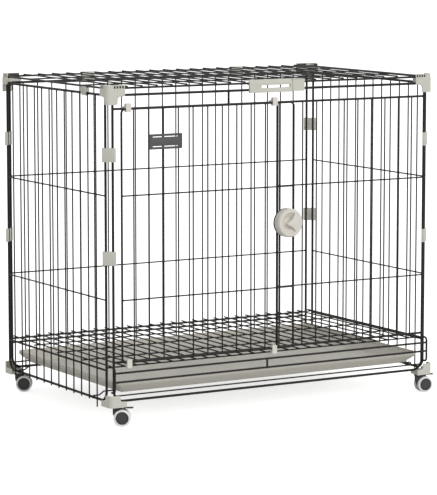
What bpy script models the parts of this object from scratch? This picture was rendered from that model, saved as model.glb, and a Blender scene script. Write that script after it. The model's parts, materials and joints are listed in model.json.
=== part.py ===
"""Folding wire dog cage with a sliding door, a lid, a floor grate, a tray and swivel casters.

Metres, +Z up. The cage stands on z = 0 and its front faces -Y. The origin is the centre of the
footprint of the whole cage. Wall panels meet at each upright corner in two-pivot hinge sleeves.
"""
import math

import bmesh
import bpy
from mathutils import Matrix, Vector

# clearances and welds
GAP = 0.0003
FRAME_WELD = 0.0005
RAIL_WELD = 0.0003
FUSE_OVERLAP = 0.001
CUTTER_REACH = 0.010

# walls: width and depth are taken between the planes of the panels' rod frames
CAGE_WIDTH = 0.905
CAGE_DEPTH = 0.545
CORNER_STEP = 0.0125
WIRE_PITCH = 0.040
ROD_RADIUS = 0.003
DOOR_ROD_RADIUS = 0.0025
RAIL_RADIUS = 0.0025
WIRE_RADIUS = 0.00175
ROD_SIDES = 6
WIRE_SIDES = 6
ARC_STEPS = 3

# heights: the bottom rail above the floor, then each rail above or below its neighbour
BOTTOM_RAIL_Z = 0.058
PANEL_HEIGHT = 0.722
HEADER_DROP = 0.032
UPPER_WIRE_DROP = 0.235
LOWER_WIRE_RISE = 0.241
SILL_RISE = 0.093
FLOOR_RAIL_RISE = 0.074
SECOND_RAIL_DROP = 0.010
GUARD_RISE = 0.048
GUARD_SPACING = 0.0215
TRAY_RISE = 0.015
TRAY_DEPTH = 0.030
ROOF_RISE = 0.016

# panel details
FRAME_TOP_ROUND = 0.010
FRAME_FOOT_ROUND = 0.025
WIRE_FOOT = 0.0055
CORNER_WIRE_FOOT = 0.019
WIRE_HEAD = 0.001

# front panel and guard
DOOR_LEFT_STEP = 0.017
DOOR_WIDTH = 0.4725
POST_OVERLAP = 0.039
LATCH_BAY = 0.060
STRUT_RADIUS = 0.00275
STRUT_FROM_POST = 0.134
GUARD_REACH = 0.015
GUARD_ROUND = 0.008
GUARD_HIGH_END = 0.0125
GUARD_LOW_END = 0.026
GUARD_STRUT_FROM_POST = 0.036
GUARD_SHIFT = 0.0004

# sliding door
DOOR_STEP = 0.012
DOOR_ROUND = 0.010
CLIP_WIDTH = 0.013
CLIP_FROM_BEND = 0.0005
CLIP_RIGHT_STEP = 0.055
CLIP_FRONT = 0.0050
CLIP_BACK = 0.0035
CLIP_BELOW = 0.007
CLIP_ABOVE = 0.013
CLIP_HOOK = 0.0030
CLIP_FOOT_CHAMFER = 0.0025
CLIP_HEAD_CHAMFER = 0.0020
CLIP_HOOK_ARC = (130, 55)
CLIP_HOOK_STEPS = 4
BORE_SIDES = 8

# bare name plate on the door
PLATE_LEFT_STEP = 0.0695
PLATE_WIDTH = 0.089
PLATE_TOP_DROP = 0.061
PLATE_HEIGHT = 0.036
PLATE_THICKNESS = 0.0025
PLATE_ROUND = 0.003
PLATE_SLOT_LENGTH = 0.070
PLATE_SLOT_HEIGHT = 0.0020
PLATE_SLOT_EDGE = 0.0055

# door knob and its bolt
KNOB_FROM_ROD = 0.026
KNOB_RISE = 0.307
KNOB_RADIUS = 0.035
KNOB_DEPTH = 0.020
KNOB_ROUND = 0.005
KNOB_SIDES = 24
KNOB_POCKET_DEPTH = 0.009
KNOB_POCKET_RADIUS = 0.026
KNOB_WEDGE_HALF_ANGLE = 42.0
KNOB_WEDGE_TIP = 0.004
BACKING_DEPTH = 0.005
BACKING_EDGE = 0.001
SPIGOT_RADIUS = 0.008
SPIGOT_DEPTH = 0.0035
CLAMP_HEIGHT = 0.030
CLAMP_WALL = 0.003
BOLT_FROM_POST = 0.0035
BOLT_WIDTH = 0.007
BOLT_HEIGHT = 0.012
BOLT_LENGTH = 0.015
GUIDE_WALL = 0.0015
GUIDE_LENGTH = 0.009

# hinge sleeves
SLEEVE_LENGTH = 0.032
SLEEVE_HEIGHT = 0.033
SLEEVE_OUTSIDE = 0.0055
SLEEVE_INSIDE = 0.0020
SLEEVE_ROUND = 0.0015
SLEEVE_HIGH_DROP = 0.139
SLEEVE_LOW_DROP = 0.382

# moulded corners
SHELL_OFFSET = 0.008
SHELL_ROUND = 0.012
SHELL_STEPS = 4
CAP_REACH = 0.0385
CAP_STEM_REACH = 0.011
CAP_ARM_LOW = 0.003
CAP_STEM_LOW = 0.022
CAP_RIM_RISE = 0.008
CAP_STEM_FILLET = 0.008
CAP_FOOT_FILLET = 0.004
CAP_WEB_INSIDE = 0.008
SLOT_WIDTH = 0.0045
SLOT_HEIGHT = 0.006
SLOT_PITCH = 0.0075
SLOT_EDGE = 0.003
FRONT_SLOTS = 3
SIDE_SLOTS = 2
BRACKET_REACH = 0.0495
BRACKET_FRONT_OFFSET = 0.020
BRACKET_TOWER_REACH = 0.012
BRACKET_TOWER_HIGH = 0.019
BRACKET_ARM_HIGH = 0.002
BRACKET_LOW = 0.012
BRACKET_STEP_FILLET = 0.008
BRACKET_EDGE_FILLET = 0.003
BRACKET_FLOOR_STEP = 0.0008
BRACKET_PAD_REACH = 0.036
BRACKET_ARM_WIDTH = 0.012
SHELL_WALL = 0.0032

# roof lid
ROOF_INSET = 0.001
ROOF_ROUND = 0.015
ROOF_ROWS = 3
HINGE_CLIP_WIDTH = 0.034
HINGE_CLIP_BAYS = 5
HINGE_CLIP_WALL = 0.003
CLIP_ARC_STEPS = 6
SIDE_CLIP_LENGTH = 0.020
SIDE_CLIP_FROM_FRONT = 0.1125
HANDLE_WIDTH = 0.125
HANDLE_FROM_CENTRE = -0.0775
HANDLE_PLATE = 0.004
HANDLE_STAND = 0.006
HANDLE_LOW = 0.023
HANDLE_TOP_WALL = 0.002
HANDLE_RETURN = 0.008
HANDLE_SHELF = 0.002
HANDLE_SLOT_LEFT = 0.039
HANDLE_SLOT_RIGHT = 0.005
HANDLE_SLOT_LOW = 0.0135
HANDLE_SLOT_HIGH = 0.0050
HANDLE_SLOT_ROUND = 0.002
HANDLE_EDGE = 0.001
LATCH_WIDTH = 0.034
LATCH_PROUD = 0.0012

# floor grate
GRATE_PITCH = 0.032
GRATE_ROWS = 5
GRATE_END_STEP = 0.012
GRATE_ROW_STEP = 0.020
GRATE_BAR_STEP = 0.008
GRATE_CLEARANCE = 0.0004

# tray
TRAY_WIDTH = 0.860
TRAY_LENGTH = 0.530
TRAY_BACK_STEP = 0.0115
TRAY_LIP = 0.008
TRAY_TAPER = 0.024
TRAY_ROUND = 0.030
TRAY_WALL = 0.002
TRAY_REST_BEND = 0.003
TRAY_REST_HOOK = 0.007
TRAY_REST_RISE = (0.012, 0.024)

# casters
CASTER_INSET_SIDE = 0.020
CASTER_INSET_FRONT = 0.000
CASTER_INSET_BACK = 0.022
WHEEL_RADIUS = 0.0205
WHEEL_WIDTH = 0.009
WHEEL_INNER = 0.0055
WHEEL_SIDES = 16
HUB_RADIUS = 0.0150
HUB_STEP = 0.0008
HUB_DRAFT = 0.0004
TYRE_ROUND = 0.0018
AXLE_RADIUS = 0.0030
TRAIL = 0.013
FORK_HALF = 0.0050
FORK_FIN_RADIUS = 0.0165
FORK_FIN_ARC = (195, 395)
FORK_FIN_STEPS = 9
FORK_BACK = 0.0095
FORK_BACK_RISE = 0.009
FORK_NECK = 0.0045
SWIVEL_RADIUS = 0.0125
SWIVEL_CLEARANCE = 0.0012
SWIVEL_SIDES = 20
STEM_RADIUS = 0.0050
STEM_SIDES = 12
CASTER_TURN = {"front_left": -31.0, "front_right": -8.0, "back_right": -31.0, "back_left": -31.0}
LEVER_CASTERS = ("front_left", "front_right")
LEVER_ROOT = 0.0165
LEVER_ROOT_RADIUS = 0.0018
LEVER_LIP = 0.0012
LEVER_SEAT_ARC = (10, -200)
LEVER_SEAT_STEPS = 6
LEVER_HEEL = 0.0005
LEVER_LENGTH = 0.023
LEVER_WIDTH = 0.012
LEVER_THICKNESS = 0.0022
LEVER_TIP_LENGTH = 0.004
LEVER_TIP_RISE = 0.0010

# colours, roughness and metallic value
FINISHES = {
    "wire_coat": ((0.055, 0.054, 0.052, 1.0), 0.45, 0.0),
    "grey_plastic": ((0.56, 0.56, 0.49, 1.0), 0.50, 0.0),
    "light_plastic": ((0.62, 0.62, 0.57, 1.0), 0.50, 0.0),
    "tray_plastic": ((0.44, 0.42, 0.37, 1.0), 0.55, 0.0),
    "dark_plastic": ((0.040, 0.040, 0.042, 1.0), 0.50, 0.0),
    "plate_plastic": ((0.075, 0.075, 0.075, 1.0), 0.55, 0.0),
    "white_tyre": ((0.80, 0.80, 0.79, 1.0), 0.50, 0.0),
}

# places that follow from the driving dimensions
TOP_RAIL_Z = BOTTOM_RAIL_Z + PANEL_HEIGHT
HEADER_Z = TOP_RAIL_Z - HEADER_DROP
UPPER_WIRE_Z = TOP_RAIL_Z - UPPER_WIRE_DROP
LOWER_WIRE_Z = BOTTOM_RAIL_Z + LOWER_WIRE_RISE
SILL_Z = BOTTOM_RAIL_Z + SILL_RISE
FLOOR_RAIL_Z = BOTTOM_RAIL_Z + FLOOR_RAIL_RISE
SECOND_RAIL_Z = FLOOR_RAIL_Z - SECOND_RAIL_DROP
GUARD_LOW_Z = BOTTOM_RAIL_Z + GUARD_RISE
GUARD_HIGH_Z = GUARD_LOW_Z + GUARD_SPACING
TRAY_BASE_Z = BOTTOM_RAIL_Z + TRAY_RISE
TRAY_RIM_Z = TRAY_BASE_Z + TRAY_DEPTH
ROOF_Z = TOP_RAIL_Z + ROOF_RISE
HALF_WIDTH = CAGE_WIDTH / 2
HALF_DEPTH = CAGE_DEPTH / 2
FRONT_SPAN = HALF_WIDTH - CORNER_STEP
SIDE_SPAN = HALF_DEPTH - CORNER_STEP
WIRE_Y = -(ROD_RADIUS + WIRE_RADIUS - FRAME_WELD)
DOOR_LEFT = -FRONT_SPAN + DOOR_LEFT_STEP
DOOR_RIGHT = DOOR_LEFT + DOOR_WIDTH
POST_X = DOOR_RIGHT - POST_OVERLAP
CLIP_LEFT_STEP = DOOR_ROUND + CLIP_WIDTH / 2 + CLIP_FROM_BEND
DOOR_WIRE_Y = -(DOOR_ROD_RADIUS + WIRE_RADIUS - FRAME_WELD)
DOOR_FACE_Y = DOOR_WIRE_Y - WIRE_RADIUS - GAP
KNOB_X = DOOR_RIGHT - KNOB_FROM_ROD
KNOB_Z = SILL_Z + KNOB_RISE
ROOF_WIRE_Z = ROOF_Z + RAIL_RADIUS + WIRE_RADIUS - FRAME_WELD
AXLE_Z = WHEEL_RADIUS * math.cos(math.pi / WHEEL_SIDES)
CAP_RIM_HIGH = ROOF_RISE + CAP_RIM_RISE
SWIVEL_LOW = 2 * WHEEL_RADIUS + SWIVEL_CLEARANCE
CORNERS = {"front_left": (-1, -1), "front_right": (1, -1), "back_right": (1, 1), "back_left": (-1, 1)}


def clear_scene():
    """Remove what a new file holds."""
    for obj in list(bpy.data.objects):
        bpy.data.objects.remove(obj)


def new_collection(name):
    """A collection of its own, linked to the scene."""
    collection = bpy.data.collections.new(name)
    bpy.context.scene.collection.children.link(collection)
    return collection


def make_finish(name):
    """Principled material with the finish's colour, roughness and metallic value."""
    colour, roughness, metallic = FINISHES[name]
    material = bpy.data.materials.new(name)
    material.use_nodes = True
    shader = material.node_tree.nodes["Principled BSDF"]
    shader.inputs["Base Color"].default_value = colour
    shader.inputs["Roughness"].default_value = roughness
    shader.inputs["Metallic"].default_value = metallic
    material.diffuse_color = colour
    return material


# geometry helpers


def fillet(corners, radii, steps=ARC_STEPS, closed=True):
    """Points of a path whose corners are rounded, each with its own radius."""
    places = [Vector(corner) for corner in corners]
    count = len(places)
    points = []
    for index, place in enumerate(places):
        radius = radii[index] if isinstance(radii, (list, tuple)) else radii
        at_end = not closed and index in (0, count - 1)
        if at_end or radius <= 0:
            points.append(place.copy())
            continue
        back = (places[index - 1] - place).normalized()
        ahead = (places[(index + 1) % count] - place).normalized()
        half = back.angle(ahead) / 2
        reach = radius / math.tan(half)
        centre = place + (back + ahead).normalized() * radius / math.sin(half)
        first = (place + back * reach - centre).normalized()
        last = (place + ahead * reach - centre).normalized()
        across = (last - first * last.dot(first)).normalized()
        sweep = math.pi - 2 * half
        for step in range(steps + 1):
            angle = sweep * step / steps
            points.append(centre + radius * (first * math.cos(angle) + across * math.sin(angle)))
    return points


def arc_points(centre, radius, start, end, steps):
    """Points on an arc in a plane, from one angle to another in degrees."""
    points = []
    for step in range(steps + 1):
        angle = math.radians(start + (end - start) * step / steps)
        points.append((centre[0] + radius * math.cos(angle), centre[1] + radius * math.sin(angle)))
    return points


def circle_points(centre, radius, sides):
    """Points of a whole circle in a plane."""
    return arc_points(centre, radius, 0, 360, sides)[:-1]


def add_object(name, data):
    """New object in the cage's collection."""
    obj = bpy.data.objects.new(name, data)
    PARTS.objects.link(obj)
    return obj


def evaluated_mesh(obj):
    """Mesh of an object as its modifiers leave it."""
    depsgraph = bpy.context.evaluated_depsgraph_get()
    return bpy.data.meshes.new_from_object(obj.evaluated_get(depsgraph))


def clean_mesh(mesh):
    """Weld caps and turn every face outwards."""
    shape = bmesh.new()
    shape.from_mesh(mesh)
    bmesh.ops.remove_doubles(shape, verts=shape.verts, dist=1e-6)
    bmesh.ops.recalc_face_normals(shape, faces=shape.faces)
    if shape.calc_volume(signed=True) < 0:
        bmesh.ops.reverse_faces(shape, faces=shape.faces)
    shape.to_mesh(mesh)
    shape.free()


def to_mesh(obj):
    """Turn a curve into a closed mesh in its place."""
    mesh = evaluated_mesh(obj)
    clean_mesh(mesh)
    solid = add_object(obj.name + "_mesh", mesh)
    solid.matrix_world = obj.matrix_world
    curve = obj.data
    bpy.data.objects.remove(obj)
    bpy.data.curves.remove(curve)
    return solid


def tubes(runs, radius, sides=WIRE_SIDES, closed=False, turned=False):
    """Round wires along runs of points. Turned wires show a ridge where others show a flat."""
    curve = bpy.data.curves.new("wire", "CURVE")
    curve.dimensions = "3D"
    curve.bevel_depth = radius
    curve.bevel_resolution = (sides - 4) // 2
    curve.use_fill_caps = True
    for run in runs:
        spline = curve.splines.new("POLY")
        spline.points.add(len(run) - 1)
        for point, place in zip(spline.points, run):
            point.co = (*place, 1.0)
            point.tilt = math.pi / sides if turned else 0.0
        spline.use_cyclic_u = closed
    return to_mesh(add_object("wire", curve))


def prism(outlines, thickness, matrix=None):
    """Flat outline, with any further outlines as holes, extruded by a thickness about its plane."""
    curve = bpy.data.curves.new("outline", "CURVE")
    curve.dimensions = "2D"
    curve.fill_mode = "BOTH"
    curve.extrude = thickness / 2
    for outline in outlines:
        spline = curve.splines.new("POLY")
        spline.points.add(len(outline) - 1)
        for point, place in zip(spline.points, outline):
            point.co = (place[0], place[1], 0.0, 1.0)
        spline.use_cyclic_u = True
    solid = to_mesh(add_object("outline", curve))
    if matrix is not None:
        solid.data.transform(matrix)
    return solid


def lathe(profile, sides, matrix=None):
    """Profile of (radius, height) points turned about Z. It runs from top to bottom."""
    mesh = bpy.data.meshes.new("profile")
    edges = [(index, index + 1) for index in range(len(profile) - 1)]
    mesh.from_pydata([(radius, 0.0, height) for radius, height in profile], edges, [])
    turned = add_object("turned", mesh)
    screw = turned.modifiers.new("turn", "SCREW")
    screw.steps = sides
    screw.render_steps = sides
    screw.use_merge_vertices = True
    screw.merge_threshold = 0.00001
    solid = baked(turned)
    clean_mesh(solid.data)
    if matrix is not None:
        solid.data.transform(matrix)
    return solid


def block(low, high):
    """Box between two corners."""
    low = Vector(low)
    high = Vector(high)
    size = high - low
    shape = bmesh.new()
    scale = Matrix.Diagonal((size.x, size.y, size.z, 1.0))
    bmesh.ops.create_cube(shape, size=1.0, matrix=Matrix.Translation((low + high) / 2) @ scale)
    mesh = bpy.data.meshes.new("block")
    shape.to_mesh(mesh)
    shape.free()
    return add_object("block", mesh)


def cylinder(radius, low, high, sides, place=(0.0, 0.0)):
    """Upright cylinder between two heights."""
    shape = bmesh.new()
    centre = Matrix.Translation((place[0], place[1], (low + high) / 2))
    bmesh.ops.create_cone(shape, cap_ends=True, segments=sides, radius1=radius, radius2=radius,
                          depth=high - low, matrix=centre)
    mesh = bpy.data.meshes.new("cylinder")
    shape.to_mesh(mesh)
    shape.free()
    return add_object("cylinder", mesh)


def baked(obj):
    """The same object with its modifiers applied."""
    mesh = evaluated_mesh(obj)
    obj.modifiers.clear()
    obj.data = mesh
    return obj


def combine(base, operation, others):
    """Apply the Boolean of a base with other solids, which are used up."""
    for other in others:
        modifier = base.modifiers.new(operation.lower(), "BOOLEAN")
        modifier.operation = operation
        modifier.solver = "EXACT"
        modifier.object = other
    result = baked(base)
    for other in others:
        bpy.data.objects.remove(other)
    return result


def fuse(*solids):
    """One body from solids that overlap."""
    return combine(solids[0], "UNION", solids[1:])


def gather(*solids):
    """One mesh from solids that stay clear of each other."""
    shape = bmesh.new()
    for solid in solids:
        shape.from_mesh(solid.data)
    mesh = bpy.data.meshes.new("gathered")
    shape.to_mesh(mesh)
    shape.free()
    for solid in solids:
        bpy.data.objects.remove(solid)
    return add_object("gathered", mesh)


def cut(part, cutter):
    """Cut a part with a live Boolean. The cutter rides on the part and stays out of renders."""
    PARTS.objects.unlink(cutter)
    CUTTERS.objects.link(cutter)
    cutter.name = part.name + "_cutter"
    cutter.parent = part
    cutter.hide_render = True
    cutter.display_type = "WIRE"
    modifier = part.modifiers.new("cut", "BOOLEAN")
    modifier.operation = "DIFFERENCE"
    modifier.solver = "EXACT"
    modifier.object = cutter


def pivot(name, parent, place, turn=0.0):
    """Empty on a joint's axis, or in the frame of a group of pieces."""
    empty = bpy.data.objects.new(name, None)
    PARTS.objects.link(empty)
    empty.empty_display_size = 0.02
    empty.parent = parent
    empty.location = place
    empty.rotation_euler = (0.0, 0.0, turn)
    return empty


def dress(obj, name, finish, parent, place=(0.0, 0.0, 0.0), turn=0.0, smooth=30.0):
    """Give a finished piece its name, material, shading and place."""
    obj.name = name
    obj.data.name = name
    obj.data.materials.clear()
    obj.data.materials.append(MATERIALS[finish])
    obj.parent = parent
    obj.location = place
    obj.rotation_euler = (0.0, 0.0, turn)
    obj.data.shade_smooth()
    obj.data.set_sharp_from_angle(angle=math.radians(smooth))
    return obj


def copy_piece(obj, name, parent, place=(0.0, 0.0, 0.0), turn=0.0):
    """Another piece of the same shape."""
    twin = obj.copy()
    twin.name = name
    PARTS.objects.link(twin)
    twin.parent = parent
    twin.location = place
    twin.rotation_euler = (0.0, 0.0, turn)
    return twin


# welded wire panels, modelled facing -Y on the plane y = 0


def rail_y(radius, wire_y=WIRE_Y):
    """Depth of a cross rail that is welded behind the upright wires."""
    return wire_y + WIRE_RADIUS + radius - RAIL_WELD


def rod_frame(span, low, high, rod_radius, low_round, high_round, centre=0.0, sides=ROD_SIDES):
    """Closed rectangle of round rod with bent corners."""
    left = centre - span
    right = centre + span
    corners = [(left, 0.0, low), (right, 0.0, low), (right, 0.0, high), (left, 0.0, high)]
    rounds = [low_round, low_round, high_round, high_round]
    return tubes([fillet(corners, rounds)], rod_radius, sides, closed=True)


def cross_rails(left, right, heights, radius, wire_y=WIRE_Y, sides=WIRE_SIDES):
    """Level rails or wires between two uprights."""
    depth = rail_y(radius, wire_y)
    return tubes([[(left, depth, z), (right, depth, z)] for z in heights], radius, sides)


def upright_wires(places, low, high, wire_y=WIRE_Y, feet=None):
    """Upright wires, with a longer foot on those that are named."""
    feet = feet or {}
    runs = [[(x, wire_y, low - feet.get(index, 0.0)), (x, wire_y, high)] for index, x in enumerate(places)]
    return tubes(runs, WIRE_RADIUS, WIRE_SIDES, turned=True)


def even_places(span, pitch):
    """Wire places between two uprights, at the pitch that divides the span evenly."""
    spaces = max(2, round(2 * span / pitch))
    return [-span + 2 * span * (index + 1) / spaces for index in range(spaces - 1)]


def wall_panel(span, floor_rails, corner_feet):
    """Side or back wall: rod frame, upright wires outside it and cross wires behind them."""
    frame = rod_frame(span, BOTTOM_RAIL_Z, TOP_RAIL_Z, ROD_RADIUS, FRAME_FOOT_ROUND, FRAME_TOP_ROUND)
    thin = cross_rails(-span, span, [UPPER_WIRE_Z, LOWER_WIRE_Z], WIRE_RADIUS)
    thick = cross_rails(-span, span, floor_rails, RAIL_RADIUS)
    places = even_places(span, WIRE_PITCH)
    feet = {}
    if corner_feet:
        feet = {0: CORNER_WIRE_FOOT - WIRE_FOOT, len(places) - 1: CORNER_WIRE_FOOT - WIRE_FOOT}
    wires = upright_wires(places, BOTTOM_RAIL_Z - WIRE_FOOT, TOP_RAIL_Z + WIRE_HEAD, feet=feet)
    return fuse(frame, gather(thin, thick), wires)


def tray_wire(span):
    """Wire that carries the tray, between a panel's end rods."""
    height = TRAY_BASE_Z - GAP - WIRE_RADIUS
    return tubes([[(-span, 0.0, height), (span, 0.0, height)]], WIRE_RADIUS)


def make_walls(parent):
    """Left, right and back panels."""
    side = wall_panel(SIDE_SPAN, [FLOOR_RAIL_Z], corner_feet=True)
    quarter = math.pi / 2
    dress(side, "left_panel", "wire_coat", parent, (-HALF_WIDTH, 0.0, 0.0), -quarter)
    copy_piece(side, "right_panel", parent, (HALF_WIDTH, 0.0, 0.0), quarter)
    back = wall_panel(FRONT_SPAN, [FLOOR_RAIL_Z, SECOND_RAIL_Z], corner_feet=False)
    back = fuse(back, tray_wire(FRONT_SPAN))
    dress(back, "back_panel", "wire_coat", parent, (0.0, HALF_DEPTH, 0.0), 2 * quarter)


def guard_end(side):
    """Bent end of the tray guard, welded beside the panel's end rod."""
    x = side * (FRONT_SPAN + ROD_RADIUS + RAIL_RADIUS - FRAME_WELD)
    high = GUARD_HIGH_Z + GUARD_HIGH_END
    low = GUARD_LOW_Z - GUARD_LOW_END
    corners = [(x, WIRE_RADIUS, high), (x, -GUARD_REACH, high), (x, -GUARD_REACH, low), (x, WIRE_RADIUS, low)]
    return fillet(corners, GUARD_ROUND, closed=False)


def make_front_panel(parent):
    """Front wall: frame, header and sill for the door, post, fixed wires and the tray guard."""
    frame = rod_frame(FRONT_SPAN, BOTTOM_RAIL_Z, TOP_RAIL_Z, ROD_RADIUS, FRAME_FOOT_ROUND, FRAME_TOP_ROUND)
    rails = cross_rails(-FRONT_SPAN, FRONT_SPAN, [HEADER_Z, SILL_Z], RAIL_RADIUS, sides=ROD_SIDES)
    low = SILL_Z - WIRE_HEAD
    high = HEADER_Z + WIRE_HEAD
    post = tubes([[(POST_X, 0.0, low), (POST_X, 0.0, high)]], ROD_RADIUS, ROD_SIDES)
    strut_x = POST_X - STRUT_FROM_POST
    strut_y = RAIL_RADIUS + STRUT_RADIUS - FRAME_WELD
    strut = tubes([[(strut_x, strut_y, HEADER_Z - WIRE_HEAD), (strut_x, strut_y, TOP_RAIL_Z + WIRE_HEAD)]],
                  STRUT_RADIUS, ROD_SIDES, turned=True)
    thin = cross_rails(POST_X, FRONT_SPAN, [UPPER_WIRE_Z, LOWER_WIRE_Z], WIRE_RADIUS)
    count = int((FRONT_SPAN - POST_X - LATCH_BAY) / WIRE_PITCH)
    places = [FRONT_SPAN - WIRE_PITCH * (index + 1) for index in range(count)]
    wires = upright_wires(places, low, high)
    ends = tubes([guard_end(-1), guard_end(1)], RAIL_RADIUS, ROD_SIDES)
    guard_x = FRONT_SPAN + ROD_RADIUS + RAIL_RADIUS - FRAME_WELD
    guard_y = -GUARD_REACH + GUARD_SHIFT
    guard = tubes([[(-guard_x, guard_y, z), (guard_x, guard_y, z)] for z in (GUARD_HIGH_Z, GUARD_LOW_Z)],
                  RAIL_RADIUS)
    stay_x = POST_X - GUARD_STRUT_FROM_POST
    stay_y = guard_y + GUARD_SHIFT
    stay = tubes([[(stay_x, stay_y, GUARD_LOW_Z), (stay_x, stay_y, GUARD_HIGH_Z)]], RAIL_RADIUS)
    level = gather(rails, tray_wire(FRONT_SPAN))
    panel = fuse(frame, level, gather(post, strut), thin, wires, ends, guard, stay)
    dress(panel, "front_panel", "wire_coat", parent, (0.0, -HALF_DEPTH, 0.0))


# sliding door, modelled on its own plane


def rail_clip_outline(flip):
    """Section of a glide clip: a loop round the door rod and a hook over the fixed rail."""
    reach = DOOR_STEP
    lip = RAIL_RADIUS + GAP
    front = -CLIP_FRONT
    back = DOOR_ROD_RADIUS + CLIP_BACK - GAP
    hook = arc_points((reach + rail_y(RAIL_RADIUS), 0.0), lip, *CLIP_HOOK_ARC, CLIP_HOOK_STEPS)
    hook_end = hook[-1][0]
    outline = [(front, -CLIP_BELOW), (back - CLIP_FOOT_CHAMFER, -CLIP_BELOW), (back, -CLIP_BELOW + CLIP_BACK)]
    outline += [(back, hook[0][1]), *hook]
    outline += [(hook_end, lip + CLIP_HOOK), (back, lip + CLIP_HOOK)]
    outline += [(back - CLIP_HEAD_CHAMFER, CLIP_ABOVE), (front, CLIP_ABOVE)]
    hole = circle_points((0.0, 0.0), DOOR_ROD_RADIUS + GAP, BORE_SIDES)
    return [[(y, flip * z) for y, z in outline], [(y, flip * z) for y, z in hole]]


def make_glide_clips(parent):
    """Four clips that hang the door on the header and guide it on the sill."""
    upright = Matrix(((0, 0, 1, 0), (1, 0, 0, 0), (0, 1, 0, 0), (0, 0, 0, 1)))
    for level, height, flip in (("top", HEADER_Z, 1), ("bottom", SILL_Z, -1)):
        for side, x in (("left", DOOR_LEFT + CLIP_LEFT_STEP), ("right", DOOR_RIGHT - CLIP_RIGHT_STEP)):
            clip = prism(rail_clip_outline(flip), CLIP_WIDTH, upright)
            dress(clip, f"glide_clip_{level}_{side}", "light_plastic", parent, (x, 0.0, height))


def make_name_plate(parent):
    """Bare plate on the door's upright wires, with a slot near its top and bottom edges."""
    half = PLATE_WIDTH / 2
    rise = PLATE_HEIGHT / 2
    corners = [(-half, -rise, 0.0), (half, -rise, 0.0), (half, rise, 0.0), (-half, rise, 0.0)]
    outlines = [fillet(corners, PLATE_ROUND, 2)]
    for side in (-1, 1):
        centre = side * (rise - PLATE_SLOT_EDGE)
        low = centre - PLATE_SLOT_HEIGHT / 2
        high = centre + PLATE_SLOT_HEIGHT / 2
        reach = PLATE_SLOT_LENGTH / 2
        outlines.append([(-reach, low), (reach, low), (reach, high), (-reach, high)])
    plate = prism(outlines, PLATE_THICKNESS, Matrix.Rotation(math.pi / 2, 4, "X"))
    middle = DOOR_LEFT + PLATE_LEFT_STEP + half
    place = (middle, DOOR_FACE_Y - PLATE_THICKNESS / 2, HEADER_Z - PLATE_TOP_DROP - rise)
    dress(plate, "name_plate", "plate_plastic", parent, place)


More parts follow.
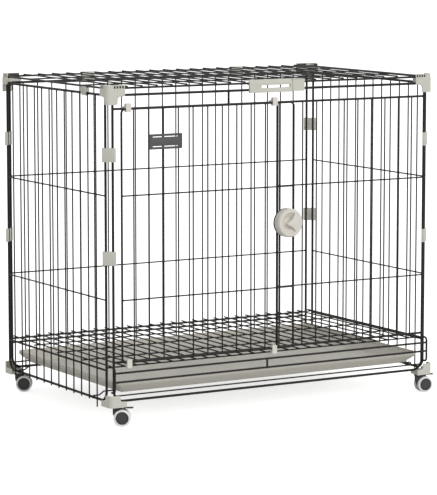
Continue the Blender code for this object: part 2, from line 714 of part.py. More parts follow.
def make_knob(parent, bolt_x):
    """Door knob: backing disc clamped on the door's rod, light grip and the bolt it drives."""
    face = Matrix.Rotation(math.pi / 2, 4, "X")
    back = DOOR_FACE_Y
    front = back - BACKING_DEPTH
    disc = lathe([(0.0, -front), (KNOB_RADIUS - BACKING_EDGE, -front), (KNOB_RADIUS, -front - BACKING_EDGE),
                  (KNOB_RADIUS, -back), (0.0, -back)], KNOB_SIDES, face)
    rod_x = KNOB_FROM_ROD
    hold = DOOR_ROD_RADIUS + GAP
    outer = hold + CLAMP_WALL
    mouth = DOOR_ROD_RADIUS / 2
    half_mouth = math.degrees(math.asin(mouth / hold))
    channel = arc_points((rod_x, 0.0), hold, half_mouth, -180 - half_mouth, BORE_SIDES)
    outline = [(rod_x - outer, back - BACKING_DEPTH / 2), (rod_x + outer, back - BACKING_DEPTH / 2),
               (rod_x + outer, mouth), *channel, (rod_x - outer, mouth)]
    clamp = prism([outline], CLAMP_HEIGHT)
    guide_left = bolt_x - BOLT_WIDTH / 2 - GAP - GUIDE_WALL
    guide_right = bolt_x + BOLT_WIDTH / 2 + GAP + GUIDE_WALL
    guide_half = BOLT_HEIGHT / 2 + GAP + GUIDE_WALL
    guide_low = (guide_left, back - BACKING_DEPTH / 2, -guide_half)
    guide = block(guide_low, (guide_right, back + GUIDE_LENGTH, guide_half))
    base = fuse(disc, clamp, guide)
    dress(base, "knob_backing", "dark_plastic", parent, (KNOB_X, 0.0, KNOB_Z))
    slot_half = BOLT_WIDTH / 2 + GAP
    slot_high = BOLT_HEIGHT / 2 + GAP
    slot_back = back + GUIDE_LENGTH + CUTTER_REACH
    slot_low = (bolt_x - slot_half, front - CUTTER_REACH, -slot_high)
    cut(base, block(slot_low, (bolt_x + slot_half, slot_back, slot_high)))
    socket = cylinder(SPIGOT_RADIUS + GAP, -SPIGOT_DEPTH - GAP, CUTTER_REACH, KNOB_SIDES)
    socket.data.transform(Matrix.Translation((0.0, front, 0.0)) @ face)
    cut(base, socket)

    knob_pivot = pivot("knob_turn", parent, (KNOB_X, 0.0, KNOB_Z))
    rear = -front + GAP
    crown = rear + KNOB_DEPTH
    edge = KNOB_ROUND / 3
    profile = [(0.0, crown), (KNOB_RADIUS - KNOB_ROUND, crown), (KNOB_RADIUS - edge, crown - edge),
               (KNOB_RADIUS, crown - KNOB_ROUND), (KNOB_RADIUS, rear), (SPIGOT_RADIUS, rear),
               (SPIGOT_RADIUS, rear - SPIGOT_DEPTH), (0.0, rear - SPIGOT_DEPTH)]
    grip = lathe(profile, KNOB_SIDES, face)
    dress(grip, "knob_grip", "light_plastic", knob_pivot)
    wedge = KNOB_WEDGE_HALF_ANGLE
    pocket = arc_points((0.0, 0.0), KNOB_POCKET_RADIUS, wedge, 360 - wedge, KNOB_SIDES // 2)
    depth = KNOB_POCKET_DEPTH + CUTTER_REACH
    pocket_place = Matrix.Translation((0.0, -crown + KNOB_POCKET_DEPTH - depth / 2, 0.0))
    cut(grip, prism([[(-KNOB_WEDGE_TIP, 0.0)] + pocket], depth, pocket_place @ face))

    bolt_pivot = pivot("bolt_slide", parent, (KNOB_X + bolt_x, 0.0, KNOB_Z))
    bolt_front = front + GAP
    corners = [(-BOLT_WIDTH / 2, bolt_front), (BOLT_WIDTH / 2, bolt_front),
               (BOLT_WIDTH / 2, bolt_front + BOLT_LENGTH - BOLT_WIDTH / 3),
               (BOLT_WIDTH / 6, bolt_front + BOLT_LENGTH), (-BOLT_WIDTH / 2, bolt_front + BOLT_LENGTH)]
    bolt = prism([corners], BOLT_HEIGHT)
    dress(bolt, "latch_bolt", "dark_plastic", bolt_pivot)


def make_door(parent):
    """Sliding door with its clips, name plate, knob and bolt."""
    door_pivot = pivot("door_slide", parent, (0.0, -HALF_DEPTH - DOOR_STEP, 0.0))
    centre = (DOOR_LEFT + DOOR_RIGHT) / 2
    frame = rod_frame(DOOR_WIDTH / 2, SILL_Z, HEADER_Z, DOOR_ROD_RADIUS, DOOR_ROUND, DOOR_ROUND, centre)
    thin = cross_rails(DOOR_LEFT, DOOR_RIGHT, [UPPER_WIRE_Z, LOWER_WIRE_Z], WIRE_RADIUS, DOOR_WIRE_Y)
    count = int((DOOR_WIDTH - WIRE_PITCH / 2) / WIRE_PITCH)
    places = [DOOR_RIGHT - WIRE_PITCH * (index + 1) for index in range(count)]
    wires = upright_wires(places, SILL_Z - WIRE_HEAD, HEADER_Z + WIRE_HEAD, DOOR_WIRE_Y)
    dress(fuse(frame, thin, wires), "sliding_door", "wire_coat", door_pivot)
    make_glide_clips(door_pivot)
    make_name_plate(door_pivot)
    bolt_x = POST_X - ROD_RADIUS - BOLT_FROM_POST - BOLT_WIDTH / 2 - KNOB_X
    make_knob(door_pivot, bolt_x)


# hinge sleeves and moulded corners


def make_sleeves(parent):
    """Two sleeves at each corner. Each holds the end rods of two panels side by side."""
    half_step = CORNER_STEP / math.sqrt(2)
    bore = ROD_RADIUS + GAP
    half = SLEEVE_LENGTH / 2
    lip = math.degrees(math.asin(SLEEVE_INSIDE / bore))
    outer = [(-half, SLEEVE_INSIDE, 0.0), (-half, -SLEEVE_OUTSIDE, 0.0), (half, -SLEEVE_OUTSIDE, 0.0),
             (half, SLEEVE_INSIDE, 0.0)]
    outline = [point[:2] for point in fillet(outer, SLEEVE_ROUND, 2, closed=False)]
    outline += arc_points((half_step, 0.0), bore, lip, -180 - lip, BORE_SIDES)
    outline += arc_points((-half_step, 0.0), bore, lip, -180 - lip, BORE_SIDES)
    first = None
    for corner, (side, end) in CORNERS.items():
        turn = math.atan2(end, side) + math.pi / 2
        place = (side * (HALF_WIDTH - CORNER_STEP / 2), end * (HALF_DEPTH - CORNER_STEP / 2))
        for level, height in (("high", TOP_RAIL_Z - SLEEVE_HIGH_DROP), ("low", TOP_RAIL_Z - SLEEVE_LOW_DROP)):
            name = f"hinge_sleeve_{corner}_{level}"
            if first is None:
                first = prism([outline], SLEEVE_HEIGHT)
                dress(first, name, "grey_plastic", parent, (*place, height), turn)
            else:
                copy_piece(first, name, parent, (*place, height), turn)


def bent_shell(outline, side_offset, front_offset):
    """Plate bent round the upright edge of a corner.

    The outline is drawn flat: the first coordinate runs along the outer face, from the middle of
    the rounded edge, and the second is the height. The panels' planes meet at x = y = 0.
    """
    half_arc = math.pi * SHELL_ROUND / 4
    plate = prism([outline], SHELL_WALL)
    shape = bmesh.new()
    shape.from_mesh(plate.data)
    bmesh.ops.dissolve_limit(shape, angle_limit=0.01, verts=shape.verts, edges=shape.edges)
    for step in range(SHELL_STEPS + 1):
        place = (-half_arc + 2 * half_arc * step / SHELL_STEPS, 0.0, 0.0)
        geometry = shape.verts[:] + shape.edges[:] + shape.faces[:]
        bmesh.ops.bisect_plane(shape, geom=geometry, dist=1e-7, plane_co=place, plane_no=(1.0, 0.0, 0.0))
    centre_x = SHELL_ROUND - side_offset
    centre_y = SHELL_ROUND - front_offset
    for vert in shape.verts:
        along, height, depth = vert.co
        bend = max(-half_arc, min(half_arc, along))
        angle = math.radians(225) + bend / SHELL_ROUND
        radius = SHELL_ROUND - SHELL_WALL / 2 - depth
        x = centre_x + radius * math.cos(angle) + max(0.0, along - half_arc)
        y = centre_y + radius * math.sin(angle) + max(0.0, -along - half_arc)
        vert.co = (x, y, height)
    shape.to_mesh(plate.data)
    shape.free()
    clean_mesh(plate.data)
    return plate


def along_face(reach, offset):
    """Distance along the outer face from the middle of the rounded edge to a reach from the corner."""
    return reach + offset - SHELL_ROUND + math.pi * SHELL_ROUND / 4


def mirrored(obj, side, end):
    """Turn a front left corner piece into the one for another corner."""
    obj.data.transform(Matrix.Diagonal((-side, -end, 1.0, 1.0)))
    if side * end < 0:
        obj.data.flip_normals()
    return obj


def cap_outline():
    """Flat outline of a top corner cap: two arms and a stem."""
    arm = along_face(CAP_REACH, SHELL_OFFSET)
    stem = along_face(CAP_STEM_REACH, SHELL_OFFSET)
    corners = [(-arm, CAP_RIM_HIGH, 0.0), (-arm, -CAP_ARM_LOW, 0.0), (-stem, -CAP_ARM_LOW, 0.0),
               (-stem, -CAP_STEM_LOW, 0.0), (stem, -CAP_STEM_LOW, 0.0), (stem, -CAP_ARM_LOW, 0.0),
               (arm, -CAP_ARM_LOW, 0.0), (arm, CAP_RIM_HIGH, 0.0)]
    foot = CAP_FOOT_FILLET
    rounds = [0.0, foot, CAP_STEM_FILLET, foot, foot, CAP_STEM_FILLET, foot, 0.0]
    return fillet(corners, rounds, SHELL_STEPS // 2)


def cap_slots():
    """Slots under the rim of a top corner cap, on both arms."""
    boxes = []
    high = CAP_RIM_HIGH - SLOT_EDGE
    low = high - SLOT_HEIGHT
    outside = -SHELL_OFFSET - SHELL_WALL
    inside = -SHELL_OFFSET + 2 * SHELL_WALL
    for index in range(FRONT_SLOTS):
        far = CAP_REACH - SLOT_EDGE - SLOT_PITCH * index
        boxes.append(block((far - SLOT_WIDTH, outside, low), (far, inside, high)))
    for index in range(SIDE_SLOTS):
        far = CAP_REACH - SLOT_EDGE - SLOT_PITCH * index
        boxes.append(block((outside, far - SLOT_WIDTH, low), (inside, far, high)))
    return gather(*boxes)


def make_corner_caps(parent):
    """Top corner connectors: a bent shell outside the rails and a web that lies on them."""
    inner = SHELL_OFFSET - SHELL_WALL / 2
    for corner, (side, end) in CORNERS.items():
        shell = bent_shell(cap_outline(), SHELL_OFFSET, SHELL_OFFSET)
        web_outline = [(-inner, -inner), (CAP_REACH - GAP, -inner), (CAP_REACH - GAP, CAP_WEB_INSIDE),
                       (CAP_WEB_INSIDE, CAP_WEB_INSIDE), (CAP_WEB_INSIDE, CAP_REACH - GAP),
                       (-inner, CAP_REACH - GAP)]
        web_low = ROD_RADIUS + GAP
        web_high = ROOF_RISE - RAIL_RADIUS - GAP
        rounded = fillet([(*point, 0.0) for point in web_outline], [SHELL_ROUND - SHELL_WALL, 0, 0, 0, 0, 0])
        web = prism([rounded], web_high - web_low, Matrix.Translation((0.0, 0.0, (web_low + web_high) / 2)))
        cap = mirrored(fuse(shell, web), side, end)
        place = (side * HALF_WIDTH, end * HALF_DEPTH, TOP_RAIL_Z)
        dress(cap, f"corner_cap_{corner}", "grey_plastic", parent, place)
        cut(cap, mirrored(cap_slots(), side, end))


def bracket_outline(front_offset):
    """Flat outline of a bottom bracket: a tower at the corner with a low arm each way."""
    front_arm = along_face(BRACKET_REACH, SHELL_OFFSET)
    side_arm = along_face(BRACKET_REACH, front_offset)
    front_tower = along_face(BRACKET_TOWER_REACH, SHELL_OFFSET)
    side_tower = along_face(BRACKET_TOWER_REACH, front_offset)
    corners = [(-side_arm, -BRACKET_LOW, 0.0), (front_arm, -BRACKET_LOW, 0.0)]
    corners += [(front_arm, BRACKET_ARM_HIGH, 0.0), (front_tower, BRACKET_ARM_HIGH, 0.0)]
    corners += [(front_tower, BRACKET_TOWER_HIGH, 0.0), (-side_tower, BRACKET_TOWER_HIGH, 0.0)]
    corners += [(-side_tower, BRACKET_ARM_HIGH, 0.0), (-side_arm, BRACKET_ARM_HIGH, 0.0)]
    edge = BRACKET_EDGE_FILLET
    rounds = [0.0, 0.0, edge, BRACKET_STEP_FILLET, edge, edge, BRACKET_STEP_FILLET, edge]
    return fillet(corners, rounds, SHELL_STEPS // 2)


def socket_place(end):
    """Caster axis of a front or back corner, from the corner of the panels' planes."""
    inset = CASTER_INSET_FRONT if end < 0 else CASTER_INSET_BACK
    return (CASTER_INSET_SIDE, inset)


def make_brackets(parent):
    """Bottom brackets: a bent shell, a floor under the rails and a socket for the caster's stem."""
    for corner, (side, end) in CORNERS.items():
        front_offset = BRACKET_FRONT_OFFSET if end < 0 else SHELL_OFFSET
        shell = bent_shell(bracket_outline(front_offset), SHELL_OFFSET, front_offset)
        low = -BRACKET_LOW + BRACKET_FLOOR_STEP
        high = -ROD_RADIUS - GAP
        left = -SHELL_OFFSET + SHELL_WALL / 2
        front = -front_offset + SHELL_WALL / 2
        reach = BRACKET_REACH - GAP
        pad = BRACKET_PAD_REACH
        arm = BRACKET_ARM_WIDTH
        inner_corners = [(pad, arm), (arm, pad)] if end < 0 else [(pad, arm), (pad, pad), (arm, pad)]
        corners = [(left, front), (reach, front), (reach, arm), *inner_corners, (arm, reach), (left, reach)]
        rounds = [SHELL_ROUND - SHELL_WALL] + [0.0] * (len(corners) - 1)
        rounded = fillet([(*point, 0.0) for point in corners], rounds)
        floor = prism([rounded], high - low, Matrix.Translation((0.0, 0.0, (low + high) / 2)))
        bracket = mirrored(fuse(shell, floor), side, end)
        bracket = dress(bracket, f"bottom_bracket_{corner}", "grey_plastic", parent,
                        (side * HALF_WIDTH, end * HALF_DEPTH, BOTTOM_RAIL_Z))
        inset = socket_place(end)
        socket = (-side * inset[0], -end * inset[1])
        reach = CUTTER_REACH
        cut(bracket, cylinder(STEM_RADIUS + GAP, low - reach, high + reach, STEM_SIDES, socket))


# roof lid


def make_roof(parent):
    """Lid with its handle and latch, hinged on its own back rod."""
    lid_pivot = pivot("roof_hinge", parent, (0.0, HALF_DEPTH - ROOF_INSET, ROOF_Z))
    side = HALF_WIDTH - ROOF_INSET
    length = CAGE_DEPTH - 2 * ROOF_INSET
    corners = [(-side, -length, 0.0), (side, -length, 0.0), (side, 0.0, 0.0), (-side, 0.0, 0.0)]
    frame = tubes([fillet(corners, ROOF_ROUND)], RAIL_RADIUS, ROD_SIDES, closed=True)
    wire_z = RAIL_RADIUS + WIRE_RADIUS - FRAME_WELD
    row_z = wire_z - 2 * WIRE_RADIUS + RAIL_WELD
    rows = []
    for index in range(ROOF_ROWS):
        y = -length * (index + 1) / (ROOF_ROWS + 1)
        rows.append([(-side, y, row_z), (side, y, row_z)])
    cross = tubes(rows, WIRE_RADIUS, turned=True)
    places = even_places(FRONT_SPAN, WIRE_PITCH)
    end = WIRE_RADIUS - FRAME_WELD
    wires = tubes([[(x, -length - end, wire_z), (x, end, wire_z)] for x in places], WIRE_RADIUS, turned=True)
    dress(fuse(frame, cross, wires), "roof_panel", "wire_coat", lid_pivot)
    make_handle(lid_pivot, -length)


def handle_section(proud, low):
    """Section of the handle round the lid's front rod: plate, top return and a shelf under the rod."""
    top = RAIL_RADIUS + 2 * WIRE_RADIUS - FRAME_WELD + GAP
    front = -HANDLE_STAND - HANDLE_PLATE - proud
    shelf_top = -RAIL_RADIUS - GAP
    shelf_end = RAIL_RADIUS
    return [(front, low), (-HANDLE_STAND, low), (-HANDLE_STAND, shelf_top - HANDLE_SHELF),
            (shelf_end, shelf_top - HANDLE_SHELF), (shelf_end, shelf_top), (-HANDLE_STAND, shelf_top),
            (-HANDLE_STAND, top), (HANDLE_RETURN, top), (HANDLE_RETURN, top + HANDLE_TOP_WALL),
            (front + HANDLE_EDGE, top + HANDLE_TOP_WALL), (front, top + HANDLE_TOP_WALL - HANDLE_EDGE)]


def make_handle(lid_pivot, front_y):
    """Carry handle with a finger slot, and the latch that slides on the lid's front rod."""
    upright = Matrix(((0, 0, 1, 0), (1, 0, 0, 0), (0, 1, 0, 0), (0, 0, 0, 1)))
    handle = prism([handle_section(0.0, -HANDLE_LOW)], HANDLE_WIDTH, upright)
    left = HANDLE_FROM_CENTRE
    centre = left + HANDLE_WIDTH / 2
    dress(handle, "roof_handle", "grey_plastic", lid_pivot, (centre, front_y, 0.0))
    slot_left = -HANDLE_WIDTH / 2 + HANDLE_SLOT_LEFT
    slot_right = HANDLE_WIDTH / 2 - HANDLE_SLOT_RIGHT
    corners = [(slot_left, -HANDLE_SLOT_LOW, 0.0), (slot_right, -HANDLE_SLOT_LOW, 0.0),
               (slot_right, -HANDLE_SLOT_HIGH, 0.0), (slot_left, -HANDLE_SLOT_HIGH, 0.0)]
    plate_face = Matrix.Translation((0.0, -HANDLE_STAND - HANDLE_PLATE, 0.0))
    through = plate_face @ Matrix.Rotation(math.pi / 2, 4, "X")
    cut(handle, prism([fillet(corners, HANDLE_SLOT_ROUND, 2)], 4 * HANDLE_PLATE, through))
    latch_x = left + HANDLE_WIDTH + GAP + LATCH_WIDTH / 2
    latch_pivot = pivot("roof_latch_slide", lid_pivot, (latch_x, front_y, 0.0))
    latch = prism([handle_section(LATCH_PROUD, -HANDLE_LOW + LATCH_PROUD)], LATCH_WIDTH, upright)
    dress(latch, "roof_latch", "grey_plastic", latch_pivot)


def make_roof_clips(parent):
    """Hinge clips on the back top rail and the ribbed rest on the left top rail."""
    upright = Matrix(((0, 0, 1, 0), (1, 0, 0, 0), (0, 1, 0, 0), (0, 0, 0, 1)))
    rise = ROOF_RISE
    low_hole = ROD_RADIUS + GAP
    high_hole = RAIL_RADIUS + GAP
    wall = HINGE_CLIP_WALL
    lower = arc_points((0.0, 0.0), low_hole + wall, 180, 360, CLIP_ARC_STEPS)
    upper = arc_points((-ROOF_INSET, rise), high_hole + wall, 0, 180, CLIP_ARC_STEPS)
    section = [lower + upper, circle_points((0.0, 0.0), low_hole, BORE_SIDES),
               circle_points((-ROOF_INSET, rise), high_hole, BORE_SIDES)]
    places = even_places(FRONT_SPAN, WIRE_PITCH)
    bay_width = places[1] - places[0]
    for name, side in (("left", -1), ("right", 1)):
        bay = side * (HINGE_CLIP_BAYS + 0.5) * bay_width
        clip = prism(section, HINGE_CLIP_WIDTH, upright)
        dress(clip, f"roof_hinge_clip_{name}", "grey_plastic", parent, (bay, HALF_DEPTH, TOP_RAIL_Z))
    along = Matrix(((1, 0, 0, 0), (0, 0, -1, 0), (0, 1, 0, 0), (0, 0, 0, 1)))
    saddle = arc_points((ROOF_INSET, rise), high_hole, 340, 200, CLIP_ARC_STEPS)
    body = arc_points((0.0, 0.0), low_hole + wall, 180, 360, CLIP_ARC_STEPS)
    body += [(low_hole + wall, saddle[0][1]), *saddle, (-low_hole - wall, saddle[-1][1])]
    rest = prism([body, circle_points((0.0, 0.0), low_hole, BORE_SIDES)], SIDE_CLIP_LENGTH, along)
    place = (-HALF_WIDTH, -HALF_DEPTH + SIDE_CLIP_FROM_FRONT, TOP_RAIL_Z)
    dress(rest, "roof_side_clip", "grey_plastic", parent, place)


# floor grate and tray


def make_grate(parent):
    """Grate whose rods rest on the side panels' floor rails."""
    wire_z = FLOOR_RAIL_Z + RAIL_RADIUS + GAP + WIRE_RADIUS
    grate_pivot = pivot("grate_lift", parent, (0.0, 0.0, wire_z))
    reach = HALF_WIDTH - rail_y(WIRE_RADIUS) - WIRE_RADIUS - GRATE_CLEARANCE
    end = HALF_DEPTH - GRATE_ROW_STEP
    rows = []
    for index in range(GRATE_ROWS):
        y = -end + 2 * end * index / (GRATE_ROWS - 1)
        rows.append([(-reach, y, 0.0), (reach, y, 0.0)])
    rods = tubes(rows, WIRE_RADIUS, turned=True)
    span = HALF_WIDTH - GRATE_END_STEP
    spaces = round(2 * span / GRATE_PITCH)
    top = 2 * WIRE_RADIUS - RAIL_WELD
    over = HALF_DEPTH - GRATE_BAR_STEP
    runs = []
    for index in range(spaces + 1):
        x = -span + 2 * span * index / spaces
        runs.append([(x, -over, top), (x, over, top)])
    bars = tubes(runs, WIRE_RADIUS, turned=True)
    dress(fuse(rods, bars), "floor_grate", "wire_coat", grate_pivot)


def tray_ring(inset, height):
    """Level outline of the tray at a height."""
    half_width = TRAY_WIDTH / 2 - inset
    half_length = TRAY_LENGTH / 2 - inset
    corners = [(-half_width, -half_length, height), (half_width, -half_length, height),
               (half_width, half_length, height), (-half_width, half_length, height)]
    return fillet(corners, TRAY_ROUND, ARC_STEPS)


def make_tray(parent):
    """Tray: upright lip, sloping walls and a flat bottom, as a shell of even wall."""
    tray_pivot = pivot("tray_slide", parent, (0.0, HALF_DEPTH - TRAY_BACK_STEP - TRAY_LENGTH / 2, 0.0))
    shape = bmesh.new()
    rings = []
    for inset, height in ((0.0, TRAY_RIM_Z), (0.0, TRAY_RIM_Z - TRAY_LIP), (TRAY_TAPER, TRAY_BASE_Z)):
        rings.append([shape.verts.new(point) for point in tray_ring(inset, height)])
    for upper, lower in zip(rings, rings[1:]):
        for index in range(len(upper)):
            after = (index + 1) % len(upper)
            shape.faces.new((upper[index], lower[index], lower[after], upper[after]))
    shape.faces.new(rings[-1])
    bmesh.ops.recalc_face_normals(shape, faces=shape.faces)
    mesh = bpy.data.meshes.new("tray")
    shape.to_mesh(mesh)
    shape.free()
    tray = dress(add_object("tray", mesh), "tray", "tray_plastic", tray_pivot)
    wall = tray.modifiers.new("wall", "SOLIDIFY")
    wall.thickness = TRAY_WALL
    bottom_faces = min(mesh.polygons, key=lambda face: face.center.z)
    wall.offset = -1.0 if bottom_faces.normal.z < 0 else 1.0
    wall.use_even_offset = True


def make_tray_rests(parent):
    """Two wires under the tray. Their ends hook over the side panels' bottom rails."""
    top = TRAY_BASE_Z - GAP - WIRE_RADIUS
    on_rail = BOTTOM_RAIL_Z + ROD_RADIUS + GAP + WIRE_RADIUS
    outside = HALF_WIDTH + ROD_RADIUS + GAP + WIRE_RADIUS
    start, end = TRAY_REST_RISE
    half = [(outside, on_rail - TRAY_REST_HOOK), (outside, on_rail)]
    half += [(HALF_WIDTH - start, on_rail), (HALF_WIDTH - end, top)]
    corners = [(-x, 0.0, z) for x, z in half] + [(x, 0.0, z) for x, z in reversed(half)]
    shelf = SIDE_SPAN - 1.5 * WIRE_PITCH
    rest = tubes([fillet(corners, TRAY_REST_BEND, 2, closed=False)], WIRE_RADIUS)
    dress(rest, "tray_wire_front", "wire_coat", parent, (0.0, -shelf, 0.0))
    copy_piece(rest, "tray_wire_back", parent, (0.0, shelf, 0.0))


# casters


def wheel_profile():
    """Half section of the wheel pair: two wheels with set-in hubs on one axle."""
    inner = WHEEL_INNER
    outer = WHEEL_INNER + WHEEL_WIDTH
    shoulder = WHEEL_RADIUS - TYRE_ROUND
    hub = [(0.0, outer - HUB_STEP), (HUB_RADIUS, outer - HUB_STEP), (HUB_RADIUS + HUB_DRAFT, outer)]
    tyre = [(shoulder, outer), (WHEEL_RADIUS, outer - TYRE_ROUND), (WHEEL_RADIUS, inner), (AXLE_RADIUS, inner)]
    one_side = hub + tyre
    return one_side + [(radius, -height) for radius, height in reversed(one_side)]


def caster_body():
    """Housing: fin between the wheels, swivel disc and stem. The swivel axis is x = y = 0."""
    top = BOTTOM_RAIL_Z - BRACKET_LOW - GAP
    joined = SWIVEL_LOW + FUSE_OVERLAP
    upright = Matrix.Rotation(math.pi / 2, 4, "X")
    lever_z = SWIVEL_LOW - LEVER_ROOT_RADIUS / 2
    fin = [(-FORK_BACK, joined), (-FORK_BACK, AXLE_Z + FORK_BACK_RISE)]
    fin += arc_points((TRAIL, AXLE_Z), FORK_FIN_RADIUS, *FORK_FIN_ARC, FORK_FIN_STEPS)
    notch = LEVER_ROOT_RADIUS + GAP
    seat = arc_points((LEVER_ROOT, lever_z), notch, *LEVER_SEAT_ARC, LEVER_SEAT_STEPS)
    fin += [(seat[0][0] + LEVER_LIP, seat[0][1]), *seat]
    fin += [(LEVER_ROOT - FORK_NECK, joined)]
    hole = circle_points((TRAIL, AXLE_Z), AXLE_RADIUS + GAP, BORE_SIDES)
    web = prism([fin, hole], 2 * FORK_HALF, upright)
    disc = cylinder(SWIVEL_RADIUS, SWIVEL_LOW, top, SWIVEL_SIDES)
    stem = cylinder(STEM_RADIUS, joined, BOTTOM_RAIL_Z - ROD_RADIUS - 3 * GAP, STEM_SIDES)
    return fuse(web, disc, stem), lever_z


def lever_solid():
    """Brake lever: root in the housing's notch and a blade that reaches over the wheels."""
    upright = Matrix.Rotation(math.pi / 2, 4, "X")
    root = prism([circle_points((0.0, 0.0), LEVER_ROOT_RADIUS, BORE_SIDES)], 2 * FORK_HALF, upright)
    low = LEVER_ROOT_RADIUS / 2 + GAP
    high = low + LEVER_THICKNESS
    tip = LEVER_LENGTH
    bend = tip - LEVER_TIP_LENGTH
    rise = LEVER_TIP_RISE
    outline = [(-LEVER_HEEL, low), (bend, low), (tip, low + rise)]
    outline += [(tip, high + rise), (bend, high), (-LEVER_HEEL, high)]
    blade = prism([outline], LEVER_WIDTH, upright)
    return fuse(root, blade)


def make_casters(parent):
    """Four swivel casters, with a brake lever where one is fitted."""
    body, lever_z = caster_body()
    lathe_turn = Matrix.Rotation(math.pi / 2, 4, "X") @ Matrix.Rotation(math.pi / WHEEL_SIDES, 4, "Z")
    wheels = lathe(wheel_profile(), WHEEL_SIDES, lathe_turn)
    lever = lever_solid()
    dress(body, "caster_housing", "dark_plastic", None)
    dress(wheels, "caster_wheels", "white_tyre", None)
    dress(lever, "brake_lever", "dark_plastic", None)
    for corner, (side, end) in CORNERS.items():
        inset = socket_place(end)
        place = (side * (HALF_WIDTH - inset[0]), end * (HALF_DEPTH - inset[1]), 0.0)
        swivel = pivot(f"caster_swivel_{corner}", parent, place, math.radians(CASTER_TURN[corner]))
        copy_piece(body, f"caster_housing_{corner}", swivel)
        axle = pivot(f"caster_axle_{corner}", swivel, (TRAIL, 0.0, AXLE_Z))
        copy_piece(wheels, f"caster_wheels_{corner}", axle)
        if corner in LEVER_CASTERS:
            hinge = pivot(f"brake_hinge_{corner}", swivel, (LEVER_ROOT, 0.0, lever_z))
            copy_piece(lever, f"brake_lever_{corner}", hinge)
    for pattern in (body, wheels, lever):
        bpy.data.objects.remove(pattern)


def centre_footprint(root):
    """Move the whole cage so that the middle of its footprint is the origin."""
    bpy.context.view_layer.update()
    corners = []
    for obj in PARTS.objects:
        if obj.type == "MESH":
            corners += [obj.matrix_world @ Vector(corner) for corner in obj.bound_box]
    middle_x = (min(corner.x for corner in corners) + max(corner.x for corner in corners)) / 2
    middle_y = (min(corner.y for corner in corners) + max(corner.y for corner in corners)) / 2
    root.location = (-middle_x, -middle_y, 0.0)


def make_cage():
    """Build every piece of the cage under one empty."""
    root = pivot("cage", None, (0.0, 0.0, 0.0))
    make_walls(root)
    make_front_panel(root)
    make_door(root)
    make_sleeves(root)
    make_corner_caps(root)
    make_brackets(root)
    make_roof(root)
    make_roof_clips(root)
    make_grate(root)
    make_tray(root)
    make_tray_rests(root)
    make_casters(root)
    centre_footprint(root)


clear_scene()
PARTS = new_collection("folding_dog_cage")
CUTTERS = new_collection("cutters")
MATERIALS = {finish_name: make_finish(finish_name) for finish_name in FINISHES}
make_cage()
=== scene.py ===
"""Looks of the folding wire dog cage: finer pieces, materials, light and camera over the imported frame."""
import json
import math

import bmesh
import bpy
from mathutils import Matrix, Vector


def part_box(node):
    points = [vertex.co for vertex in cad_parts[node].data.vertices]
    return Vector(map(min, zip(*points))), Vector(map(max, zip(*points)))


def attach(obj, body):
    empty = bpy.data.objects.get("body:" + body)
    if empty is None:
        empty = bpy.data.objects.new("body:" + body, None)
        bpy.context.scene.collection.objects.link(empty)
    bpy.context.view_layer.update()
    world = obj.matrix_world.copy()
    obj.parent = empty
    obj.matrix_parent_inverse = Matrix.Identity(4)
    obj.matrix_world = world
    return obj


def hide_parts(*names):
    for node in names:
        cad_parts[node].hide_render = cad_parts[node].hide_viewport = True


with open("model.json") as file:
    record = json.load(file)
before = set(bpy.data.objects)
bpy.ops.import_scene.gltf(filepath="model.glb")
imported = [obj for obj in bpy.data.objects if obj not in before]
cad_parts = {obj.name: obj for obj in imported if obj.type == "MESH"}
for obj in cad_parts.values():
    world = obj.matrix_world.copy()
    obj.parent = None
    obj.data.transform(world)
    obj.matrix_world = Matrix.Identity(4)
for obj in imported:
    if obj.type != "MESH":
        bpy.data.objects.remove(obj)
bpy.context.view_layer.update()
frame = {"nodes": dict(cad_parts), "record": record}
NODES = frame["nodes"]

# driving sizes, as in the solids
GAP = 0.0003
WELD = 0.0005
RAIL_WELD = 0.0003
CAGE_WIDTH = 0.905
CAGE_DEPTH = 0.545
HALF_WIDTH = CAGE_WIDTH / 2
HALF_DEPTH = CAGE_DEPTH / 2
CORNER_STEP = 0.0125
FRONT_SPAN = HALF_WIDTH - CORNER_STEP
SIDE_SPAN = HALF_DEPTH - CORNER_STEP
PITCH = 0.040
ROD = 0.003
DOOR_ROD = 0.0025
RAIL = 0.0025
STRUT = 0.00275
WIRE = 0.00175
WIRE_Y = -(ROD + WIRE - WELD)
BOTTOM_Z = 0.058
TOP_Z = 0.780
HEADER_Z = TOP_Z - 0.032
UPPER_Z = TOP_Z - 0.235
LOWER_Z = BOTTOM_Z + 0.241
SILL_Z = BOTTOM_Z + 0.093
FLOOR_RAIL_Z = BOTTOM_Z + 0.074
SECOND_RAIL_Z = FLOOR_RAIL_Z - 0.010
GUARD_LOW_Z = BOTTOM_Z + 0.048
GUARD_HIGH_Z = GUARD_LOW_Z + 0.0215
TRAY_BASE_Z = BOTTOM_Z + 0.015
ROOF_RISE = 0.016
ROOF_Z = TOP_Z + ROOF_RISE
WIRE_FOOT = 0.0055
CORNER_FOOT = 0.019
WIRE_HEAD = 0.001
DOOR_LEFT = -FRONT_SPAN + 0.017
DOOR_RIGHT = DOOR_LEFT + 0.4725
DOOR_Y = -HALF_DEPTH - 0.012
DOOR_WIRE_Y = -(DOOR_ROD + WIRE - WELD)
POST_X = DOOR_RIGHT - 0.039
SHELL = 0.008
SHELL_ROUND = 0.012
WALL = 0.0032
CORNERS = {"front_left": (-1, -1), "front_right": (1, -1), "back_right": (1, 1), "back_left": (-1, 1)}
CASTER_TURN = {"front_left": -31.0, "front_right": -8.0, "back_right": -31.0, "back_left": -31.0}
BRAKED = ("front_left", "front_right")
WHEEL_RADIUS = 0.0205
WHEEL_INNER = 0.0055
WHEEL_OUTER = WHEEL_INNER + 0.009
WHEEL_SIDES = 16
AXLE_Z = WHEEL_RADIUS * math.cos(math.pi / WHEEL_SIDES)
TRAIL = 0.013
SWIVEL_LOW = 2 * WHEEL_RADIUS + 0.0012
